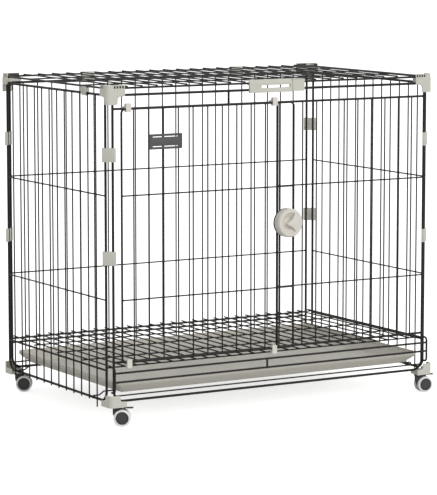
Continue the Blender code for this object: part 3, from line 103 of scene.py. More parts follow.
SWIVEL_TOP = BOTTOM_Z - 0.012 - GAP

# the cage's middle between its panels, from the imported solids
MIDDLE_X = (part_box("left_panel")[0][0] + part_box("right_panel")[1][0]) / 2
MIDDLE_Y = (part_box("left_panel")[0][1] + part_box("left_panel")[1][1]) / 2
CAGE = Matrix.Translation((MIDDLE_X, MIDDLE_Y, 0.0))

# no change of place, an outline turned to face -Y, and an outline in y and z drawn out along x
HERE = Matrix.Identity(4)
FACING = Matrix.Rotation(math.pi / 2, 4, "X")
ACROSS = Matrix(((0, 0, 1, 0), (1, 0, 0, 0), (0, 1, 0, 0), (0, 0, 0, 1)))

# camera, placed from the front left corner of the top rails
FOCAL_PX = 2564.2
IMAGE_WIDTH = 437
CAMERA_FROM_CORNER = (-2.7885, -5.2471, 0.4070)
CAMERA_YAW = math.radians(-30.467)
CAMERA_PITCH = math.radians(7.312)


def make_camera():
    """Camera at the photograph's angle."""
    data = bpy.data.cameras.new("camera")
    camera = bpy.data.objects.new("camera", data)
    bpy.context.scene.collection.objects.link(camera)
    data.sensor_fit = "HORIZONTAL"
    data.sensor_width = 36.0
    data.lens = FOCAL_PX * 36.0 / IMAGE_WIDTH
    data.clip_end = 50.0
    corner = Vector((MIDDLE_X - HALF_WIDTH, MIDDLE_Y - HALF_DEPTH, TOP_Z))
    camera.location = corner + Vector(CAMERA_FROM_CORNER)
    camera.rotation_euler = (math.pi / 2 - CAMERA_PITCH, 0.0, CAMERA_YAW)
    bpy.context.scene.camera = camera


# materials


def new_material(name):
    """Node material with its shader."""
    material = bpy.data.materials.new(name)
    material.use_nodes = True
    return material, material.node_tree, material.node_tree.nodes["Principled BSDF"]


def noise(tree, source, scale, detail=3.0):
    """Noise in object space."""
    node = tree.nodes.new("ShaderNodeTexNoise")
    node.inputs["Scale"].default_value = scale
    node.inputs["Detail"].default_value = detail
    tree.links.new(source.outputs["Object"], node.inputs["Vector"])
    return node


def spread(tree, value, low, high, start=0.3, end=0.7):
    """Value stretched to a range."""
    node = tree.nodes.new("ShaderNodeMapRange")
    node.inputs["From Min"].default_value = start
    node.inputs["From Max"].default_value = end
    node.inputs["To Min"].default_value = low
    node.inputs["To Max"].default_value = high
    tree.links.new(value, node.inputs["Value"])
    return node.outputs["Result"]


def blend_colour(tree, factor, first, second):
    """Mix of two colours or sockets."""
    node = tree.nodes.new("ShaderNodeMix")
    node.data_type = "RGBA"
    sockets = (node.inputs[6], node.inputs[7])
    for socket, colour in zip(sockets, (first, second)):
        if isinstance(colour, tuple):
            socket.default_value = (*colour, 1.0)
        else:
            tree.links.new(colour, socket)
    tree.links.new(factor, node.inputs["Factor"])
    return node.outputs[2]


def finish_material(name, colour, roughness, grain, grain_scale, shift, worn, worn_share, dust, gloss):
    """Surface with a slow colour shift, fine grain, pale wear on edges and dust that lies on top."""
    material, tree, shader = new_material(name)
    shader.inputs["Specular IOR Level"].default_value = gloss
    place = tree.nodes.new("ShaderNodeTexCoord")
    geometry = tree.nodes.new("ShaderNodeNewGeometry")
    slow = noise(tree, place, 9.0)
    fine = noise(tree, place, grain_scale, 2.0)
    patch = noise(tree, place, 120.0, 4.0)
    dark = tuple(channel * (1 - shift) for channel in colour)
    light = tuple(min(1.0, channel * (1 + shift)) for channel in colour)
    body = blend_colour(tree, spread(tree, slow.outputs["Fac"], 0.0, 1.0), dark, light)
    edge = spread(tree, geometry.outputs["Pointiness"], 0.0, worn_share, 0.53, 0.62)
    broken = tree.nodes.new("ShaderNodeMath")
    broken.operation = "MULTIPLY"
    tree.links.new(edge, broken.inputs[0])
    tree.links.new(spread(tree, patch.outputs["Fac"], 0.2, 1.0, 0.4, 0.6), broken.inputs[1])
    body = blend_colour(tree, broken.outputs["Value"], body, worn)
    axis = tree.nodes.new("ShaderNodeSeparateXYZ")
    tree.links.new(geometry.outputs["Normal"], axis.inputs["Vector"])
    lying = tree.nodes.new("ShaderNodeMath")
    lying.operation = "MULTIPLY"
    tree.links.new(spread(tree, axis.outputs["Z"], 0.0, dust, 0.5, 1.0), lying.inputs[0])
    tree.links.new(spread(tree, patch.outputs["Fac"], 0.3, 1.0), lying.inputs[1])
    body = blend_colour(tree, lying.outputs["Value"], body, DUST_COLOUR)
    tree.links.new(body, shader.inputs["Base Color"])
    sheen = spread(tree, fine.outputs["Fac"], roughness - 0.07, roughness + 0.07)
    tree.links.new(sheen, shader.inputs["Roughness"])
    bump = tree.nodes.new("ShaderNodeBump")
    bump.inputs["Strength"].default_value = grain
    bump.inputs["Distance"].default_value = 0.0002
    tree.links.new(fine.outputs["Fac"], bump.inputs["Height"])
    tree.links.new(bump.outputs["Normal"], shader.inputs["Normal"])
    return material


DUST_COLOUR = (0.55, 0.53, 0.49)

# colour, roughness, grain strength and scale, colour shift, worn colour and share, dust, gloss
FINISHES = {
    "wire_coat": ((0.021, 0.0195, 0.018), 0.42, 0.25, 1400.0, 0.10, (0.070, 0.067, 0.062), 0.35, 0.02, 0.16),
    "grey_plastic": ((0.60, 0.59, 0.52), 0.48, 0.20, 1100.0, 0.03, (0.66, 0.66, 0.60), 0.5, 0.03, 0.5),
    "light_plastic": ((0.69, 0.665, 0.60), 0.42, 0.15, 1100.0, 0.03, (0.76, 0.74, 0.68), 0.5, 0.02, 0.5),
    "tray_plastic": ((0.66, 0.635, 0.565), 0.52, 0.30, 800.0, 0.04, (0.72, 0.70, 0.64), 0.4, 0.03, 0.5),
    "dark_plastic": ((0.050, 0.050, 0.052), 0.46, 0.20, 1000.0, 0.08, (0.13, 0.13, 0.13), 0.4, 0.03, 0.35),
    "plate_plastic": ((0.075, 0.075, 0.077), 0.50, 0.25, 1000.0, 0.06, (0.15, 0.15, 0.15), 0.4, 0.03, 0.5),
    "white_tyre": ((0.86, 0.86, 0.85), 0.55, 0.25, 900.0, 0.02, (0.90, 0.90, 0.89), 0.4, 0.02, 0.5),
}
MATERIALS = {name: finish_material(name, *finish) for name, finish in FINISHES.items()}


# mesh helpers


def fillet(corners, radii, steps=6, closed=True):
    """Points of a path whose corners are rounded, each with its own radius."""
    places = [Vector(corner) for corner in corners]
    count = len(places)
    points = []
    for index, place in enumerate(places):
        radius = radii[index] if isinstance(radii, (list, tuple)) else radii
        if radius <= 0 or (not closed and index in (0, count - 1)):
            points.append(place.copy())
            continue
        back = (places[index - 1] - place).normalized()
        ahead = (places[(index + 1) % count] - place).normalized()
        half = back.angle(ahead) / 2
        reach = radius / math.tan(half)
        centre = place + (back + ahead).normalized() * radius / math.sin(half)
        first = (place + back * reach - centre).normalized()
        last = (place + ahead * reach - centre).normalized()
        across = (last - first * last.dot(first)).normalized()
        sweep = math.pi - 2 * half
        for step in range(steps + 1):
            angle = sweep * step / steps
            points.append(centre + radius * (first * math.cos(angle) + across * math.sin(angle)))
    return points


def fillet_flat(corners, radii, steps, closed=True):
    """Rounded outline or profile in a plane."""
    places = [(*corner, 0.0) for corner in corners]
    return [(point.x, point.y) for point in fillet(places, radii, steps, closed)]


def arc(centre, radius, start, end, steps):
    """Points on an arc in a plane, in degrees."""
    points = []
    for step in range(steps + 1):
        angle = math.radians(start + (end - start) * step / steps)
        points.append((centre[0] + radius * math.cos(angle), centre[1] + radius * math.sin(angle)))
    return points


def join_rings(shape, first, second):
    """Faces between two rings of equal count."""
    count = len(first)
    for index in range(count):
        after = (index + 1) % count
        shape.faces.new((first[index], first[after], second[after], second[index]))


def add_tube(shape, run, radius, sides=12, closed=False):
    """Round wire along a path, with domed ends."""
    points = [Vector(point) for point in run]
    count = len(points)
    tangents = []
    for index in range(count):
        before = points[index - 1] if closed or index > 0 else points[index]
        after = points[(index + 1) % count] if closed or index < count - 1 else points[index]
        tangents.append((after - before).normalized())
    stations = [(point, tangent, 1.0) for point, tangent in zip(points, tangents)]
    if not closed:
        angles = (0.35, 0.8, 1.2, math.pi / 2)
        dome = [(radius * (1 - math.cos(angle)) * 0.7, math.sin(angle)) for angle in angles]
        first = [(points[0] + tangents[0] * depth, tangents[0], share) for depth, share in dome]
        last = [(points[-1] - tangents[-1] * depth, tangents[-1], share) for depth, share in reversed(dome)]
        stations = first + stations[1:-1] + last
    side = tangents[0].orthogonal().normalized()
    facing = tangents[0]
    rings = []
    for point, tangent, share in stations:
        side = facing.rotation_difference(tangent) @ side
        side = (side - tangent * side.dot(tangent)).normalized()
        facing = tangent
        across = tangent.cross(side)
        ring = []
        for index in range(sides):
            angle = 2 * math.pi * index / sides
            place = point + radius * share * (side * math.cos(angle) + across * math.sin(angle))
            ring.append(shape.verts.new(place))
        rings.append(ring)
    for first_ring, second_ring in zip(rings, rings[1:]):
        join_rings(shape, first_ring, second_ring)
    if closed:
        join_rings(shape, rings[-1], rings[0])
    else:
        shape.faces.new(list(reversed(rings[0])))
        shape.faces.new(rings[-1])


def add_bead(shape, place, size):
    """Weld bead: a small flattened ball."""
    matrix = Matrix.Translation(place) @ Matrix.Diagonal((*size, 1.0))
    bmesh.ops.create_icosphere(shape, subdivisions=2, radius=1.0, matrix=matrix)


def add_lathe(shape, profile, sides, matrix):
    """Profile of (radius, height) points turned about Z, from one end of the axis to the other."""
    rings = []
    for radius, height in profile:
        if radius < 1e-7:
            rings.append([shape.verts.new(matrix @ Vector((0.0, 0.0, height)))])
            continue
        ring = []
        for index in range(sides):
            angle = 2 * math.pi * index / sides
            place = Vector((radius * math.cos(angle), radius * math.sin(angle), height))
            ring.append(shape.verts.new(matrix @ place))
        rings.append(ring)
    for first, second in zip(rings, rings[1:]):
        if len(first) == 1 or len(second) == 1:
            pole, ring = (first, second) if len(first) == 1 else (second, first)
            for index in range(sides):
                shape.faces.new((pole[0], ring[index], ring[(index + 1) % sides]))
        else:
            join_rings(shape, first, second)


def prism_mesh(outlines, thickness, edge=0.0004, matrix=HERE):
    """Flat outline with holes, extruded about its plane, with rounded edges."""
    curve = bpy.data.curves.new("outline", "CURVE")
    curve.dimensions = "2D"
    curve.fill_mode = "BOTH"
    curve.extrude = thickness / 2 - edge
    curve.bevel_depth = edge
    curve.bevel_resolution = 2
    curve.offset = -edge
    for number, outline in enumerate(outlines):
        places = [(place[0], place[1]) for place in outline]
        area = sum(a[0] * b[1] - b[0] * a[1] for a, b in zip(places, places[1:] + places[:1]))
        if (area > 0) == (number > 0):
            places.reverse()
        spline = curve.splines.new("POLY")
        spline.points.add(len(places) - 1)
        for point, place in zip(spline.points, places):
            point.co = (place[0], place[1], 0.0, 1.0)
        spline.use_cyclic_u = True
    obj = bpy.data.objects.new("outline", curve)
    bpy.context.scene.collection.objects.link(obj)
    depsgraph = bpy.context.evaluated_depsgraph_get()
    mesh = bpy.data.meshes.new_from_object(obj.evaluated_get(depsgraph))
    bpy.data.objects.remove(obj)
    bpy.data.curves.remove(curve)
    mesh.transform(matrix)
    return mesh


def add_prism(shape, outlines, thickness, edge=0.0004, matrix=HERE):
    """Rounded prism joined to a shape."""
    mesh = prism_mesh(outlines, thickness, edge, matrix)
    shape.from_mesh(mesh)
    bpy.data.meshes.remove(mesh)


def rectangle(left, low, right, high, radius=0.0, steps=4):
    """Outline of a rectangle with rounded corners."""
    return fillet_flat([(left, low), (right, low), (right, high), (left, high)], radius, steps)


def make_piece(shape, name, slot, body, nodes, matrix=CAGE, angle=35.0):
    """Object from a shape, put in place, with its material, body and the nodes it stands for."""
    bmesh.ops.remove_doubles(shape, verts=shape.verts, dist=1e-6)
    bmesh.ops.recalc_face_normals(shape, faces=shape.faces)
    mesh = bpy.data.meshes.new(name)
    shape.to_mesh(mesh)
    shape.free()
    mesh.transform(matrix)
    mesh.shade_smooth()
    mesh.set_sharp_from_angle(angle=math.radians(angle))
    mesh.materials.append(MATERIALS[slot])
    piece = bpy.data.objects.new(name, mesh)
    bpy.context.scene.collection.objects.link(piece)
    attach(piece, body)
    if nodes:
        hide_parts(*nodes)
    return piece


def even_places(span, pitch):
    """Wire places between two uprights."""
    spaces = max(2, round(2 * span / pitch))
    return [-span + 2 * span * (index + 1) / spaces for index in range(spaces - 1)]


# welded wire pieces, modelled facing -Y on the plane y = 0

FOOT_ROUND = 0.025
HEAD_ROUND = 0.010
BEAD = (0.0024, 0.0012, 0.0024)
FLAT_BEAD = (0.0024, 0.0024, 0.0012)
END_BEAD = (0.0016, 0.0024, 0.0024)


def rail_y(radius, wire_y=WIRE_Y):
    """Depth of a cross rail behind the upright wires."""
    return wire_y + WIRE + radius - RAIL_WELD


def add_frame(shape, left, right, low, high, radius, low_round, high_round):
    """Bent rod frame."""
    corners = [(left, 0.0, low), (right, 0.0, low), (right, 0.0, high), (left, 0.0, high)]
    run = fillet(corners, [low_round, low_round, high_round, high_round], 10)
    add_tube(shape, run, radius, 16, closed=True)


def add_rail(shape, left, right, height, radius, wire_y=WIRE_Y, weld=ROD):
    """Level rail between two uprights, with a bead at each end."""
    depth = rail_y(radius, wire_y)
    add_tube(shape, [(left, depth, height), (right, depth, height)], radius)
    add_bead(shape, (left + weld, depth / 2, height), END_BEAD)
    add_bead(shape, (right - weld, depth / 2, height), END_BEAD)


def add_upright(shape, x, low, high, crossings, wire_y=WIRE_Y):
    """Upright wire with a bead at each rail that it crosses."""
    add_tube(shape, [(x, wire_y, low), (x, wire_y, high)], WIRE)
    for height in crossings:
        add_bead(shape, (x, wire_y + WIRE - RAIL_WELD / 2, height), BEAD)


def wall_shape(span, floor_rails, corner_feet, tray_rail=False):
    """Side or back wall."""
    shape = bmesh.new()
    add_frame(shape, -span, span, BOTTOM_Z, TOP_Z, ROD, FOOT_ROUND, HEAD_ROUND)
    for height in (UPPER_Z, LOWER_Z):
        add_rail(shape, -span, span, height, WIRE)
    for height in floor_rails:
        add_rail(shape, -span, span, height, RAIL)
    places = even_places(span, PITCH)
    crossings = [BOTTOM_Z, TOP_Z, UPPER_Z, LOWER_Z, *floor_rails]
    for index, x in enumerate(places):
        at_corner = corner_feet and index in (0, len(places) - 1)
        foot = CORNER_FOOT if at_corner else WIRE_FOOT
        add_upright(shape, x, BOTTOM_Z - foot, TOP_Z + WIRE_HEAD, crossings)
    if tray_rail:
        height = TRAY_BASE_Z - GAP - WIRE
        add_tube(shape, [(-span, 0.0, height), (span, 0.0, height)], WIRE)
        for side in (-1, 1):
            add_bead(shape, (side * (span - ROD), 0.0, height), END_BEAD)
    return shape


def make_walls():
    """Left, right and back panels."""
    for name, side in (("left", -1), ("right", 1)):
        place = Matrix.Translation((side * HALF_WIDTH, 0.0, 0.0))
        matrix = CAGE @ place @ Matrix.Rotation(side * math.pi / 2, 4, "Z")
        shape = wall_shape(SIDE_SPAN, [FLOOR_RAIL_Z], True)
        make_piece(shape, f"{name}_welded_wall", "wire_coat", "cage", [f"{name}_panel"], matrix)
    matrix = CAGE @ Matrix.Translation((0.0, HALF_DEPTH, 0.0)) @ Matrix.Rotation(math.pi, 4, "Z")
    shape = wall_shape(FRONT_SPAN, [FLOOR_RAIL_Z, SECOND_RAIL_Z], False, tray_rail=True)
    make_piece(shape, "back_welded_wall", "wire_coat", "cage", ["back_panel"], matrix)


# the header and the sill are a little thicker than in the solids
THICK_RAIL = 0.0028
LATCH_BAY = 0.060
STRUT_FROM_POST = 0.134
STAY_FROM_POST = 0.036
GUARD_Y = -0.015
GUARD_ROUND = 0.008
GUARD_HIGH_END = 0.0125
GUARD_LOW_END = 0.026


def make_front():
    """Front wall: frame, header, sill, post, fixed wires and the tray guard."""
    shape = bmesh.new()
    add_frame(shape, -FRONT_SPAN, FRONT_SPAN, BOTTOM_Z, TOP_Z, ROD, FOOT_ROUND, HEAD_ROUND)
    for height in (HEADER_Z, SILL_Z):
        add_rail(shape, -FRONT_SPAN, FRONT_SPAN, height, THICK_RAIL)
    add_tube(shape, [(POST_X, 0.0, SILL_Z - WIRE_HEAD), (POST_X, 0.0, HEADER_Z + WIRE_HEAD)], ROD, 16)
    for height in (HEADER_Z - RAIL, SILL_Z + RAIL):
        add_bead(shape, (POST_X, 0.0, height), (0.0040, 0.0034, 0.0016))
    strut_x = POST_X - STRUT_FROM_POST
    strut_y = RAIL + STRUT - WELD
    add_tube(shape, [(strut_x, strut_y, HEADER_Z - WIRE_HEAD), (strut_x, strut_y, TOP_Z + WIRE_HEAD)], STRUT)
    for height in (HEADER_Z, TOP_Z):
        add_bead(shape, (strut_x, strut_y / 2, height), (0.0034, 0.0014, 0.0030))
    for height in (UPPER_Z, LOWER_Z):
        add_rail(shape, POST_X, FRONT_SPAN, height, WIRE)
    count = int((FRONT_SPAN - POST_X - LATCH_BAY) / PITCH)
    for index in range(count):
        x = FRONT_SPAN - PITCH * (index + 1)
        add_upright(shape, x, SILL_Z - WIRE_HEAD, HEADER_Z + WIRE_HEAD, [SILL_Z, HEADER_Z, UPPER_Z, LOWER_Z])
    guard_x = FRONT_SPAN + ROD + RAIL - WELD
    high = GUARD_HIGH_Z + GUARD_HIGH_END
    low = GUARD_LOW_Z - GUARD_LOW_END
    for side in (-1, 1):
        x = side * guard_x
        corners = [(x, WIRE, high), (x, GUARD_Y, high), (x, GUARD_Y, low), (x, WIRE, low)]
        add_tube(shape, fillet(corners, GUARD_ROUND, 8, closed=False), RAIL, 14)
        for height in (high, low):
            add_bead(shape, (x - side * RAIL, 0.0, height), (0.0014, 0.0030, 0.0026))
        for height in (GUARD_HIGH_Z, GUARD_LOW_Z):
            add_bead(shape, (x - side * RAIL * 0.6, GUARD_Y + 0.0002, height), (0.0022, 0.0028, 0.0028))
    guard_rail_y = GUARD_Y + 0.0004
    for height in (GUARD_HIGH_Z, GUARD_LOW_Z):
        add_tube(shape, [(-guard_x, guard_rail_y, height), (guard_x, guard_rail_y, height)], RAIL, 14)
    stay_x = POST_X - STAY_FROM_POST
    stay_y = GUARD_Y + 0.0008
    add_tube(shape, [(stay_x, stay_y, GUARD_LOW_Z), (stay_x, stay_y, GUARD_HIGH_Z)], RAIL)
    height = TRAY_BASE_Z - GAP - WIRE
    add_tube(shape, [(-FRONT_SPAN, 0.0, height), (FRONT_SPAN, 0.0, height)], WIRE)
    matrix = CAGE @ Matrix.Translation((0.0, -HALF_DEPTH, 0.0))
    make_piece(shape, "front_welded_wall", "wire_coat", "cage", ["front_panel"], matrix)


DOOR_ROUND = 0.010
DOOR_BAY = 0.0425
DOOR_WIRES = 11


def make_door():
    """Sliding door's rod frame and wires."""
    shape = bmesh.new()
    add_frame(shape, DOOR_LEFT, DOOR_RIGHT, SILL_Z, HEADER_Z, DOOR_ROD, DOOR_ROUND, DOOR_ROUND)
    for height in (UPPER_Z, LOWER_Z):
        add_rail(shape, DOOR_LEFT, DOOR_RIGHT, height, WIRE, DOOR_WIRE_Y, DOOR_ROD)
    for index in range(DOOR_WIRES):
        x = DOOR_RIGHT - DOOR_BAY - PITCH * index
        add_upright(shape, x, SILL_Z - WIRE_HEAD, HEADER_Z + WIRE_HEAD, [SILL_Z, HEADER_Z, UPPER_Z, LOWER_Z],
                    DOOR_WIRE_Y)
    matrix = CAGE @ Matrix.Translation((0.0, DOOR_Y, 0.0))
    make_piece(shape, "sliding_wire_door", "wire_coat", "door", ["sliding_door"], matrix)


ROOF_INSET = 0.001
ROOF_ROUND = 0.015
ROOF_ROWS = 3


def make_roof():
    """Lid: bent rod frame, three cross wires and the wires over them."""
    shape = bmesh.new()
    side = HALF_WIDTH - ROOF_INSET
    length = CAGE_DEPTH - 2 * ROOF_INSET
    corners = [(-side, -length, 0.0), (side, -length, 0.0), (side, 0.0, 0.0), (-side, 0.0, 0.0)]
    add_tube(shape, fillet(corners, ROOF_ROUND, 10), RAIL, 16, closed=True)
    wire_z = RAIL + WIRE - WELD
    row_z = wire_z - 2 * WIRE + RAIL_WELD
    rows = [-length * (index + 1) / (ROOF_ROWS + 1) for index in range(ROOF_ROWS)]
    for y in rows:
        add_tube(shape, [(-side, y, row_z), (side, y, row_z)], WIRE)
        for end in (-1, 1):
            add_bead(shape, (end * (side - RAIL), y, row_z / 2), END_BEAD)
    end = WIRE - WELD
    for x in even_places(FRONT_SPAN, PITCH):
        add_tube(shape, [(x, -length - end, wire_z), (x, end, wire_z)], WIRE)
        for y in (*rows, 0.0, -length):
            add_bead(shape, (x, y, wire_z - WIRE), FLAT_BEAD)
    matrix = CAGE @ Matrix.Translation((0.0, HALF_DEPTH - ROOF_INSET, ROOF_Z))
    make_piece(shape, "roof_wire_lid", "wire_coat", "roof", ["roof_panel"], matrix)


GRATE_PITCH = 0.032
GRATE_ROWS = 5


def make_grate():
    """Floor grate, from the places of its solid."""
    shape = bmesh.new()
    low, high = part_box("floor_grate")
    row_z = FLOOR_RAIL_Z + RAIL + GAP + WIRE
    bar_z = row_z + 2 * WIRE - RAIL_WELD
    reach = (high[0] - low[0]) / 2
    end = HALF_DEPTH - 0.020
    rows = [-end + 2 * end * index / (GRATE_ROWS - 1) for index in range(GRATE_ROWS)]
    for y in rows:
        add_tube(shape, [(-reach, y, row_z), (reach, y, row_z)], WIRE)
    span = reach - 0.012
    spaces = round(2 * span / GRATE_PITCH)
    over = HALF_DEPTH - 0.008
    for index in range(spaces + 1):
        x = -span + 2 * span * index / spaces
        add_tube(shape, [(x, -over, bar_z), (x, over, bar_z)], WIRE, 10)
        for y in rows:
            add_bead(shape, (x, y, bar_z - WIRE), FLAT_BEAD)
    make_piece(shape, "floor_wire_grate", "wire_coat", "grate", ["floor_grate"])


def make_tray_wires():
    """Wires under the tray, hooked over the side rails."""
    top = TRAY_BASE_Z - GAP - WIRE
    on_rail = BOTTOM_Z + ROD + GAP + WIRE
    outside = HALF_WIDTH + ROD + GAP + WIRE
    half = [(outside, on_rail - 0.007), (outside, on_rail)]
    half += [(HALF_WIDTH - 0.012, on_rail), (HALF_WIDTH - 0.024, top)]
    corners = [(-x, 0.0, z) for x, z in half] + [(x, 0.0, z) for x, z in reversed(half)]
    shelf = SIDE_SPAN - 1.5 * PITCH
    for name, side in (("front", -1), ("back", 1)):
        shape = bmesh.new()
        add_tube(shape, fillet(corners, 0.003, 6, closed=False), WIRE)
        matrix = CAGE @ Matrix.Translation((0.0, side * shelf, 0.0))
        make_piece(shape, f"hooked_tray_wire_{name}", "wire_coat", "cage", [f"tray_wire_{name}"], matrix)


# moulded corners


def bend_shell(shape, side_offset, front_offset, steps=10):
    """Bend a flat plate round the upright edge of a corner. Its x runs along the outer face."""
    half_arc = math.pi * SHELL_ROUND / 4
    for step in range(steps + 1):
        place = (-half_arc + 2 * half_arc * step / steps, 0.0, 0.0)
        geometry = shape.verts[:] + shape.edges[:] + shape.faces[:]
        bmesh.ops.bisect_plane(shape, geom=geometry, dist=1e-7, plane_co=place, plane_no=(1.0, 0.0, 0.0))
    centre_x = SHELL_ROUND - side_offset
    centre_y = SHELL_ROUND - front_offset
    for vert in shape.verts:
        along, height, depth = vert.co
        bend = max(-half_arc, min(half_arc, along))
        angle = math.radians(225) + bend / SHELL_ROUND
        radius = SHELL_ROUND - WALL / 2 - depth
        x = centre_x + radius * math.cos(angle) + max(0.0, along - half_arc)
        y = centre_y + radius * math.sin(angle) + max(0.0, -along - half_arc)
        vert.co = (x, y, height)


def along_face(reach, offset):
    """Distance along the outer face from the middle of the rounded edge."""
    return reach + offset - SHELL_ROUND + math.pi * SHELL_ROUND / 4


def corner_matrix(side, end, height):
    """Places a front left corner piece at another corner, mirrored where that needs it."""
    place = Matrix.Translation((side * HALF_WIDTH, end * HALF_DEPTH, height))
    return CAGE @ place @ Matrix.Diagonal((-side, -end, 1.0, 1.0))


CAP_FRONT = 0.0425
CAP_SIDE = 0.0255
CAP_LOW = -0.003
CAP_FOOT = -0.022
CAP_HIGH = ROOF_RISE + 0.008
CAP_BAND = 0.0095
SLOT_STEP = 0.0072
SLOT_LENGTH = 0.0048


def cap_body():
    """Outer shell of a top corner: two arms and a stem below a set-back band."""
    front_arm = along_face(CAP_FRONT, SHELL)
    side_arm = along_face(CAP_SIDE, SHELL)
    front_stem = along_face(0.024, SHELL)
    side_stem = along_face(0.004, SHELL)
    top = CAP_HIGH - CAP_BAND
    corners = [(-side_arm, top), (-side_arm, CAP_LOW), (-side_stem, CAP_LOW), (-side_stem + 0.002, CAP_FOOT)]
    corners += [(front_stem - 0.002, CAP_FOOT), (front_stem, CAP_LOW), (front_arm, CAP_LOW), (front_arm, top)]
    outline = fillet_flat(corners, [0.001, 0.004, 0.008, 0.003, 0.003, 0.008, 0.004, 0.001], 6)
    shape = bmesh.new()
    add_prism(shape, [outline], WALL, 0.0008)
    bend_shell(shape, SHELL, SHELL)
    return shape


def cap_band():
    """Set-back band along the top edge with its slots."""
    front_arm = along_face(CAP_FRONT, SHELL) - 0.0005
    side_arm = along_face(CAP_SIDE, SHELL) - 0.0005
    low = CAP_HIGH - CAP_BAND - 0.001
    outlines = [rectangle(-side_arm, low, front_arm, CAP_HIGH, 0.0006)]
    high = CAP_HIGH - 0.0025
    for index in range(4):
        right = front_arm - 0.0025 - SLOT_STEP * index
        outlines.append(rectangle(right - SLOT_LENGTH, low + 0.0022, right, high, 0.0007))
    for index in range(2):
        left = -side_arm + 0.0025 + SLOT_STEP * index
        outlines.append(rectangle(left, low + 0.0022, left + SLOT_LENGTH, high, 0.0007))
    shape = bmesh.new()
    add_prism(shape, outlines, WALL - 0.0012, 0.0003, Matrix.Translation((0.0, 0.0, 0.0006)))
    bend_shell(shape, SHELL, SHELL)
    return shape


def make_painted_slot_shade():
    """Dark sheets behind the slots of the corner caps: painted shade where the slots show only shade."""
    front_arm = along_face(CAP_FRONT, SHELL) - 0.0012
    side_arm = along_face(CAP_SIDE, SHELL) - 0.0012
    low = CAP_HIGH - CAP_BAND + 0.0002
    for corner, (side, end) in CORNERS.items():
        shape = bmesh.new()
        for left, right in ((-side_arm, -side_arm + 0.0160), (front_arm - 0.0300, front_arm)):
            outline = rectangle(left, low, right, CAP_HIGH - 0.0014, 0.0004)
            add_prism(shape, [outline], 0.0003, 0.0001, Matrix.Translation((0.0, 0.0, WALL / 2 + 0.0001)))
        bend_shell(shape, SHELL, SHELL)
        # painted shade: a dark sheet behind each row of slots, standing in for the shade inside the cap
        make_piece(shape, f"painted_shade_slot_liner_{corner}", "dark_plastic", "cage", [],
                   corner_matrix(side, end, TOP_Z))


def cap_web():
    """Web that lies on the rails, between them and the lid."""
    inner = SHELL - WALL / 2
    arm = 0.008
    front_end = CAP_FRONT - 0.0008
    side_end = CAP_SIDE - 0.0008
    low = ROD + GAP
    high = ROOF_RISE - RAIL - GAP
    corners = [(-inner, -inner), (front_end, -inner), (front_end, arm)]
    corners += [(arm, arm), (arm, side_end), (-inner, side_end)]
    outline = fillet_flat(corners, [SHELL_ROUND - WALL, 0.001, 0.001, 0.002, 0.001, 0.001], 5)
    shape = bmesh.new()
    add_prism(shape, [outline], high - low, 0.0005, Matrix.Translation((0.0, 0.0, (low + high) / 2)))
    return shape


def merged(*shapes):
    """One shape from several."""
    base = shapes[0]
    for other in shapes[1:]:
        mesh = bpy.data.meshes.new("part")
        other.to_mesh(mesh)
        other.free()
        base.from_mesh(mesh)
        bpy.data.meshes.remove(mesh)
    return base


def make_caps():
    """Four top corner connectors."""
    for corner, (side, end) in CORNERS.items():
        shape = merged(cap_body(), cap_band(), cap_web())
        make_piece(shape, f"moulded_cap_{corner}", "grey_plastic", "cage", [f"corner_cap_{corner}"],
                   corner_matrix(side, end, TOP_Z))


BRACKET_FRONT = 0.037
BRACKET_FOOT = -0.012
BRACKET_ARM = 0.002
TOWER_HIGH = 0.0165


def bracket_shape(end):
    """Bottom bracket: tapered tower, two arms and a floor with the stem's hole."""
    front_offset = 0.020 if end < 0 else SHELL
    side_reach = 0.026 if end < 0 else 0.036
    front_arm = along_face(BRACKET_FRONT, SHELL)
    side_arm = along_face(side_reach, front_offset)
    front_tower = along_face(0.021, SHELL)
    side_tower = along_face(0.004, front_offset)
    corners = [(-side_arm, BRACKET_FOOT), (front_arm, BRACKET_FOOT), (front_arm, BRACKET_ARM)]
    corners += [(front_tower, BRACKET_ARM), (front_tower - 0.002, TOWER_HIGH), (-side_tower, TOWER_HIGH)]
    corners += [(-side_tower, BRACKET_ARM), (-side_arm, BRACKET_ARM)]
    outline = fillet_flat(corners, [0.0006, 0.0006, 0.003, 0.006, 0.0022, 0.0022, 0.004, 0.003], 6)
    shell = bmesh.new()
    add_prism(shell, [outline], WALL, 0.0007)
    bend_shell(shell, SHELL, front_offset)
    left = -SHELL + WALL / 2
    front = -front_offset + WALL / 2
    reach = BRACKET_FRONT - 0.0008
    deep = side_reach - 0.0008
    arm = 0.012
    pad = [] if end < 0 else [(0.030, 0.030)]
    corners = [(left, front), (reach, front), (reach, arm), *pad, (arm, deep), (left, deep)]
    outline = fillet_flat(corners, [SHELL_ROUND - WALL] + [0.001] * (len(corners) - 1), 5)
    low = BRACKET_FOOT + 0.0008
    high = -ROD - GAP
    stem = (0.020, 0.0) if end < 0 else (0.020, 0.022)
    hole = arc(stem, 0.0053, 0, 360, 24)[:-1]
    floor = bmesh.new()
    add_prism(floor, [outline, hole], high - low, 0.0004, Matrix.Translation((0.0, 0.0, (low + high) / 2)))
    return merged(shell, floor)


def make_brackets():
    """Four bottom brackets."""
    for corner, (side, end) in CORNERS.items():
        make_piece(bracket_shape(end), f"moulded_bracket_{corner}", "grey_plastic", "cage",
                   [f"bottom_bracket_{corner}"], corner_matrix(side, end, BOTTOM_Z))


SLEEVE_X = HALF_WIDTH - CORNER_STEP / 2
SLEEVE_Y = HALF_DEPTH - CORNER_STEP / 2
SLEEVE_HEIGHT = 0.033
SLEEVE_DROPS = (("high", 0.139), ("low", 0.382))


